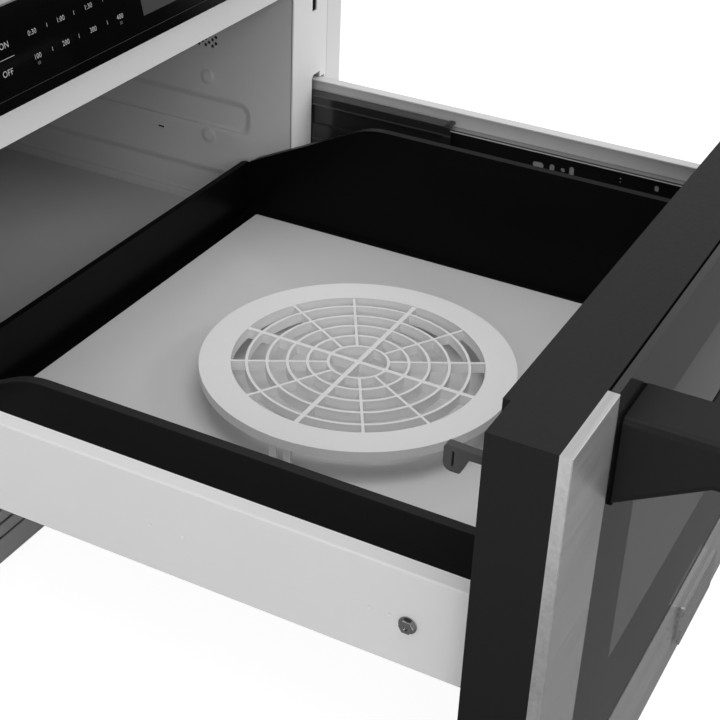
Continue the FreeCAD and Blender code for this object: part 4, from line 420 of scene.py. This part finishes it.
def moulded(name, colour, roughness, grain=1400.0, depth=0.00004, change=0.08, specular=0.4):
    """Moulded plastic with a spark-eroded skin."""
    f = Finish(name)
    skin = f.use(MOULDED, Size=grain)
    cloud = f.use(CLOUD, Size=9.0)["Tone"]
    tone = f.g.maths("ADD", f.g.maths("MULTIPLY", skin["Tone"], 0.5),
                     f.g.maths("MULTIPLY", cloud, 0.5))
    f.g.feed(f.shade(tone, colour, change), f.shader.inputs["Base Color"])
    f.g.feed(f.g.spread(skin["Tone"], roughness * 0.88, min(1.0, roughness * 1.12)),
             f.shader.inputs["Roughness"])
    f.bump(skin["Height"], depth)
    f.set(Specular_IOR_Level=specular)
    return f.material


def brush(f, colour, roughness, stretch, lines=900.0, change=0.12, depth=0.000006, metal=1.0):
    """Makes a finish brushed metal; the lines run along the axis whose stretch is small."""
    grain = f.use(BRUSHED, Stretch=stretch, Lines=lines)
    cloud = f.use(CLOUD, Size=5.0)["Tone"]
    f.g.feed(f.shade(grain["Tone"], colour, change), f.shader.inputs["Base Color"])
    rough = f.g.maths("ADD", f.g.spread(grain["Tone"], roughness * 0.7, roughness * 1.2),
                      f.g.spread(cloud, -0.03, 0.03))
    f.g.feed(rough, f.shader.inputs["Roughness"])
    f.bump(grain["Height"], depth)
    f.set(Metallic=metal)
    return f.material


def brushed(name, colour, roughness, stretch, **changes):
    """A plain brushed metal."""
    return brush(Finish(name), colour, roughness, stretch, **changes)


def edged_steel(name, colour, roughness, glass, **changes):
    """Brushed metal with painted shade: a dark line along the gap at the edge of the glass that it frames.
    """
    f = Finish(name)
    brush(f, colour, roughness, **changes)
    low, high = glass
    middle, half = (low + high) / 2, (high - low) / 2
    # painted shade in the gap round the glass
    gap = f.use(BOX_MASK, Centre=tuple(middle), Half=(half.x + GLASS_GAP, 1.0, half.z + GLASS_GAP),
                Edge=SEAM_EDGE)["Mask"]
    f.darken(gap, GLASS_GAP_SHADE)
    return f.material


def rail_paint(name, colour, roughness, bands, **changes):
    """Slide paint with painted highlights: lighter bands, each (inner X, outer X, lower Z, upper Z, grey),
    on both sides.
    """
    f = Finish(name)
    spray(f, colour, roughness, **changes)
    # each band is a painted highlight, lighter where light catches a lip or edge of the rail
    for inner, outer, low, high, level in bands:
        for side in (-1.0, 1.0):
            band = f.use(BOX_MASK, Centre=(side * (inner + outer) / 2, 0.0, (low + high) / 2),
                         Half=((outer - inner) / 2, 2.0, (high - low) / 2),
                         Edge=SEAM_EDGE)["Mask"]
            f.lighten(band, level)
    return f.material


def gloss(name, colour, roughness, specular=0.5, change=0.1):
    """Glass or enamel: nearly smooth, with faint smears in its gloss."""
    f = Finish(name)
    smear = f.use(CLOUD, Size=14.0)["Tone"]
    f.g.feed(f.shade(smear, colour, change), f.shader.inputs["Base Color"])
    f.g.feed(f.g.spread(smear, roughness * 0.7, roughness * 1.3), f.shader.inputs["Roughness"])
    skin = f.use(MOULDED, Size=260.0)
    f.bump(skin["Height"], 0.000002)
    f.set(Specular_IOR_Level=specular)
    return f.material


def tray_enamel():
    """Black enamel of the tray; its left rim and outer face carry a painted sheen, a little greyer."""
    f = Finish("tray_enamel")
    spray(f, grey(0.003), 0.30, specular=0.05, depth=0.000006)
    # painted sheen: lightens the tray's rim and outer face left of TRAY_LEFT
    left = f.use(BOX_MASK, Centre=(TRAY_LEFT - SHEEN_REACH, 0.0, 0.0), Half=(SHEEN_REACH, 2.0, 1.0),
                 Edge=SHEEN_EDGE)["Mask"]
    f.lighten(left, TRAY_SHEEN_GREY)
    return f.material


def window_glass(name):
    """Door glass: black printed border, and a window with the perforated sheet behind it."""
    f = Finish(name)
    inside = f.use(BOX_MASK, Centre=WINDOW_CENTRE, Half=WINDOW_HALF, Edge=WINDOW_EDGE)["Mask"]
    holes = f.use(DOT_SCREEN)["Mask"]
    smear = f.use(CLOUD, Size=14.0)["Tone"]
    border = f.shade(smear, grey(0.012), 0.2)
    sheet = f.shade(holes, grey(0.085), 0.18)
    f.g.feed(f.g.mix(inside, border, sheet), f.shader.inputs["Base Color"])
    f.g.feed(f.g.spread(smear, 0.04, 0.09), f.shader.inputs["Roughness"])
    f.set(Specular_IOR_Level=0.5)
    return f.material


ALONG_X, ALONG_Y, ALONG_Z = (0.02, 1.0, 1.0), (1.0, 0.02, 1.0), (1.0, 1.0, 0.02)

LIGHT_PAINT = painted("light_paint", grey(0.66), 0.40)
FRAME_PAINT = painted("frame_paint", grey(0.76), 0.42)
TRIM_PAINT = seamed_paint("trim_paint", grey(0.70), 0.42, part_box("front_frame")[1][0])
LINER_PAINT = pressed_paint("liner_paint", grey(0.54), 0.36, grain=520.0, depth=0.00003)
TRAY_ENAMEL = tray_enamel()
SLIDE_PAINT = rail_paint("slide_paint", grey(0.018), 0.14, SLIDE_HIGHLIGHTS, specular=0.6, depth=0.000004)
SEAT_PAINT = rail_paint("seat_paint", grey(0.018), 0.2, SEAT_HIGHLIGHTS, specular=0.4, depth=0.000004)
HANDLE_PAINT = painted("handle_paint", grey(0.009), 0.46, specular=0.20, depth=0.00001)
DOOR_PLASTIC = moulded("door_plastic", grey(0.009), 0.50, specular=0.20)
HOUSING_PLASTIC = moulded("housing_plastic", grey(0.30), 0.45)
SWITCH_PLASTIC = moulded("switch_plastic", grey(0.04), 0.45)
HOOK_PLASTIC = moulded("hook_plastic", grey(0.05), 0.42)
RACK_PLASTIC = moulded("rack_plastic", grey(0.80), 0.36, grain=1100.0, depth=0.00003, change=0.03)
BOARD_PLASTIC = moulded("board_plastic", (0.03, 0.16, 0.07), 0.4)
MOTOR_PLASTIC = moulded("motor_plastic", grey(0.03), 0.45)
PLUNGER_PLASTIC = moulded("plunger_plastic", (0.45, 0.06, 0.04), 0.4)
GASKET_RUBBER = moulded("gasket_rubber", grey(0.002), 0.7, grain=900.0, specular=0.05)
MICA = moulded("mica", (0.55, 0.5, 0.42), 0.5, grain=300.0, change=0.15)
STAINLESS = edged_steel("stainless", grey(0.56), 0.26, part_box("door_glass"), stretch=ALONG_X,
                        lines=420.0, change=0.36, metal=0.7)
BADGE_STEEL = brushed("badge_steel", grey(0.42), 0.28, ALONG_X, lines=420.0, change=0.3, metal=0.7)
GRILLE_STEEL = brushed("grille_steel", grey(0.70), 0.36, ALONG_X, metal=0.4)
SHEET_STEEL = brushed("sheet_steel", grey(0.5), 0.42, ALONG_Y, lines=420.0, change=0.08)
ALUMINIUM = brushed("aluminium", grey(0.6), 0.3, ALONG_Z, lines=600.0)
SCREW_STEEL = brushed("screw_steel", grey(0.5), 0.25, ALONG_Y, lines=700.0)
CORE_STEEL = brushed("core_steel", grey(0.1), 0.5, (0.02, 0.02, 1.0), lines=800.0)
COPPER = brushed("copper", (0.55, 0.22, 0.09), 0.3, ALONG_X, lines=500.0)
BLACK_GLASS = gloss("black_glass", grey(0.002), 0.07, specular=0.42)
DISPLAY_GLASS = gloss("display_glass", grey(0.05), 0.10, specular=0.42)
FLOOR_CERAMIC = gloss("floor_ceramic", grey(0.68), 0.12, change=0.03)
LAMP_GLASS = gloss("lamp_glass", grey(0.03), 0.3)
INNER_GLASS = gloss("inner_glass", grey(0.12), 0.08)
DOOR_GLASS = window_glass("door_glass")
MARK_INK = painted("mark_ink", grey(0.34), 0.5)
FAINT_INK = painted("faint_ink", grey(0.12), 0.5)
EDGE_INK = painted("edge_ink", grey(0.004), 0.5)

FINISHES = {
    LIGHT_PAINT: ["outer_wrapper", "side_panel_left", "side_panel_right"],
    FRAME_PAINT: ["front_frame"],
    TRIM_PAINT: ["side_trim_left", "side_trim_right"],
    LINER_PAINT: ["cavity_liner"],
    SHEET_STEEL: ["base_plate", "rear_panel", "waveguide", "door_screen"],
    GRILLE_STEEL: ["vent_grille"],
    STAINLESS: ["door_frame"],
    BADGE_STEEL: ["badge_plate"],
    ALUMINIUM: ["capacitor", "stirrer_blade", "magnetron"],
    SCREW_STEEL: ["case_screws", "panel_screws", "hook_pins"],
    CORE_STEEL: ["transformer_core"],
    COPPER: ["transformer_coils"],
    TRAY_ENAMEL: ["tray_shell"],
    FLOOR_CERAMIC: ["floor_glass"],
    SLIDE_PAINT: ["case_rail_left", "case_rail_right", "middle_rail_left", "middle_rail_right",
                  "slide_bracket_left", "slide_bracket_right"],
    SEAT_PAINT: ["drawer_rail_left", "drawer_rail_right"],
    HANDLE_PAINT: ["handle_bar", "handle_post_left", "handle_post_right"],
    GASKET_RUBBER: ["handle_gaskets"],
    DOOR_PLASTIC: ["door_body", "choke_cover"],
    HOUSING_PLASTIC: ["panel_housing"],
    HOOK_PLASTIC: ["latch_hook_left", "latch_hook_right"],
    RACK_PLASTIC: ["round_rack"],
    BOARD_PLASTIC: ["control_board"],
    MOTOR_PLASTIC: ["fan_housing", "fan_blade", "stirrer_motor", "drive_motor", "cord_inlet",
                    "drive_rack", "drive_pinion"],
    SWITCH_PLASTIC: ["latch_board_left", "latch_board_right"],
    PLUNGER_PLASTIC: ["switch_plunger_left", "switch_plunger_right"],
    MICA: ["waveguide_cover"],
    BLACK_GLASS: ["control_glass"],
    DISPLAY_GLASS: ["display_lens"],
    DOOR_GLASS: ["door_glass"],
    INNER_GLASS: ["inner_window"],
    LAMP_GLASS: ["cavity_lamp"],
}


def dress_nodes():
    """Gives every CAD node its finish."""
    for material, names in FINISHES.items():
        for name in names:
            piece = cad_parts[name]
            piece.data.materials.clear()
            piece.data.materials.append(material)
    bare = set(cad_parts) - {n for names in FINISHES.values() for n in names}
    assert not bare, f"nodes with no finish: {sorted(bare)}"


# ---------------------------------------------------------------- key marks on the control glass
def on_glass(across, up):
    """Where a mark sits on the leaning control glass, from its middle and its lower edge, in mm."""
    along = Vector((0.0, math.sin(GLASS_LEAN), math.cos(GLASS_LEAN)))
    out = Vector((0.0, -math.cos(GLASS_LEAN), math.sin(GLASS_LEAN)))
    return GLASS_FOOT + Vector((across * MM, 0.0, 0.0)) + along * up * MM + out * MARK_LIFT


def seat_mark(mark, name, across, up, ink):
    """Lays a mark on the glass and fixes it to the case."""
    piece = bpy.data.objects.new(name, mark)
    mark.materials.append(ink)
    piece.location = on_glass(across, up)
    piece.rotation_euler = (math.pi / 2 - GLASS_LEAN, 0.0, 0.0)
    bpy.context.scene.collection.objects.link(piece)
    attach(piece, "case")


def letter_mark(name, words, across, up, height, ink):
    """Printed figures whose capitals are height mm tall."""
    letters = bpy.data.curves.new(name, "FONT")
    letters.body = words
    letters.size = height * MM / CAPITAL_SHARE
    letters.space_character = LETTER_SPACE
    letters.align_x = "CENTER"
    letters.resolution_u = LETTER_STEPS
    seat_mark(letters, name, across, up, ink)


def line_mark(name, across, up, length, height, ink):
    """A thin printed bar from its lower left corner."""
    corners = [(0, 0, 0), (length * MM, 0, 0), (length * MM, height * MM, 0), (0, height * MM, 0)]
    mesh = bpy.data.meshes.new(name)
    mesh.from_pydata(corners, [], [(0, 1, 2, 3)])
    seat_mark(mesh, name, across, up, ink)


def make_key_marks():
    """Two rows of figures with bars between them, and the two large keys left of them."""
    for row, (words, foot) in enumerate(zip(MARK_WORDS, MARK_ROWS)):
        for place, (across, word) in enumerate(zip(MARK_COLUMNS, words)):
            letter_mark(f"mark_{row}_{place}", word, across, foot, MARK_HEIGHT, MARK_INK)
        for place, across in enumerate(BAR_COLUMNS):
            line_mark(f"mark_bar_{row}_{place}", across, foot + BAR_RISE, BAR_WIDTH,
                      MARK_HEIGHT - BAR_SHORTER, MARK_INK)
    for across, word in ((MARK_COLUMNS[0], "60"), (MARK_COLUMNS[3], "30")):
        letter_mark(f"mark_under_{word}", word, across, MARK_ROWS[1] - SUB_DROP, SUB_HEIGHT, FAINT_INK)
    for name, word, across, foot in KEY_WORDS:
        letter_mark(name, word, across, foot, MARK_HEIGHT + KEY_TALLER, MARK_INK)
    line_mark("mark_between_keys", -172.0, 28.0, 15.0, 0.3, MARK_INK)
    line_mark("mark_lower_edge", -190.0, 6.4, 380.0, 0.35, EDGE_INK)


# ---------------------------------------------------------------- stage, lamps and camera
def toward_backdrop(g, vector):
    """0 for directions on the camera's side and 1 toward the bright backdrop."""
    unit = g.vector("NORMALIZE", g.vector("MULTIPLY", vector, (1.0, 1.0, 0.0))[0])[0]
    along = g.vector("DOT_PRODUCT", unit, BACKDROP)["Value"]
    return g.spread(along, 0.0, 1.0, BACKDROP_FROM, BACKDROP_FULL, "SMOOTHSTEP")


def floor_gleam(g, place):
    """The floor's extra glow and its colour in reflections, by place."""
    far = g.vector("LENGTH", place)["Value"]
    near = g.spread(far, 1.0, FLOOR_FADED, FLOOR_NEAR, FLOOR_FAR)
    left = g.spread(g.parts(place)[0], 0.0, FLOOR_LEFT, LEFT_FROM, LEFT_FULL, "SMOOTHSTEP")
    foot = g.spread(g.parts(place)[1], DOOR_FOOT_DIM, DOOR_FOOT_BRIGHT,
                    DOOR_FOOT_NEAR, DOOR_FOOT_FAR)
    behind = toward_backdrop(g, place)
    glow = g.maths("MAXIMUM", left, g.maths("MULTIPLY", behind, FLOOR_BACK))
    lit = g.maths("MULTIPLY", g.maths("MAXIMUM", near, behind), foot)
    return glow, g.maths("MULTIPLY", lit, FLOOR_GLEAM)


def floor_material():
    """White to the camera but for the object's shadow, dimmer in reflections, pale as light."""
    material = bpy.data.materials.new("floor")
    material.use_nodes = True
    g = Graph(material.node_tree)
    g.tree.nodes.clear()
    light = g.add("ShaderNodeLightPath").outputs
    seen, gleam = light["Is Camera Ray"], light["Is Glossy Ray"]
    extra, colour = floor_gleam(g, g.add("ShaderNodeTexCoord").outputs["Object"])
    glow = g.maths("ADD", g.maths("MULTIPLY", seen, FLOOR_GLOW), g.maths("MULTIPLY", gleam, extra))
    direct = g.maths("ADD", g.maths("MULTIPLY", seen, FLOOR_SEEN),
                     g.maths("MULTIPLY", gleam, colour))
    other = g.maths("SUBTRACT", 1.0, g.maths("MAXIMUM", seen, gleam))
    shader = g.add("ShaderNodeBsdfPrincipled", {
        "Base Color": g.maths("ADD", direct, g.maths("MULTIPLY", other, FLOOR_COLOUR)),
        "Roughness": 0.8, "Specular IOR Level": 0.0,
        "Emission Color": (1.0, 1.0, 1.0, 1.0), "Emission Strength": glow})
    g.feed(shader.outputs[0], g.add("ShaderNodeOutputMaterial").inputs["Surface"])
    return material


def make_floor():
    """Pale floor at the foot of the case."""
    half = FLOOR_SIZE / 2
    corners = [(x, y, -FLOOR_DROP) for x, y in ((-half, -half), (half, -half), (half, half), (-half, half))]
    mesh = bpy.data.meshes.new("floor")
    mesh.from_pydata(corners, [], [(0, 1, 2, 3)])
    mesh.materials.append(floor_material())
    floor = bpy.data.objects.new("floor", mesh)
    bpy.context.scene.collection.objects.link(floor)


def make_sky():
    """White surroundings: white to the camera, dimmer as light, and dark behind the camera as a gleam."""
    world = bpy.data.worlds.new("studio")
    bpy.context.scene.world = world
    world.use_nodes = True
    g = Graph(world.node_tree)
    g.tree.nodes.clear()
    light = g.add("ShaderNodeLightPath").outputs
    seen = g.maths("MAXIMUM", light["Is Camera Ray"], light["Is Transmission Ray"])
    way = g.add("ShaderNodeTexCoord").outputs["Generated"]
    gleam = g.spread(toward_backdrop(g, way), ROOM_GLOSS, SKY_GLOSS)
    plain = g.maths("SUBTRACT", 1.0, light["Is Glossy Ray"])
    base = g.maths("ADD", g.maths("MULTIPLY", light["Is Glossy Ray"], gleam),
                   g.maths("MULTIPLY", plain, SKY_LIGHT))
    background = g.add("ShaderNodeBackground", {
        "Color": (1.0, 1.0, 1.0, 1.0), "Strength": g.maths("MAXIMUM", seen, base)})
    output = g.add("ShaderNodeOutputWorld")
    g.feed(background.outputs[0], output.inputs["Surface"])


def make_lamp(name, place, target, size, power):
    """A square softbox that faces its target."""
    data = bpy.data.lights.new(name, "AREA")
    data.shape, data.size, data.energy = "SQUARE", size, power
    lamp = bpy.data.objects.new(name, data)
    lamp.location = place
    lamp.rotation_mode = "QUATERNION"
    lamp.rotation_quaternion = (Vector(target) - Vector(place)).to_track_quat("-Z", "Y")
    bpy.context.scene.collection.objects.link(lamp)


def make_camera():
    """The photograph's camera."""
    data = bpy.data.cameras.new("camera")
    data.lens, data.sensor_width, data.sensor_fit = CAMERA_LENS, CAMERA_SENSOR, "HORIZONTAL"
    data.clip_start, data.clip_end = CAMERA_CLIP
    camera = bpy.data.objects.new("camera", data)
    forward = CAMERA_RIGHT.cross(-CAMERA_DOWN)
    turn = Matrix((CAMERA_RIGHT, -CAMERA_DOWN, forward)).transposed()
    camera.matrix_world = Matrix.Translation(CAMERA_PLACE) @ turn.to_4x4()
    bpy.context.scene.collection.objects.link(camera)
    bpy.context.scene.camera = camera


dress_nodes()
make_key_marks()
make_floor()
make_sky()
for lamp_values in LAMPS:
    make_lamp(*lamp_values)
make_camera()
bpy.context.scene.view_settings.view_transform = "Standard"
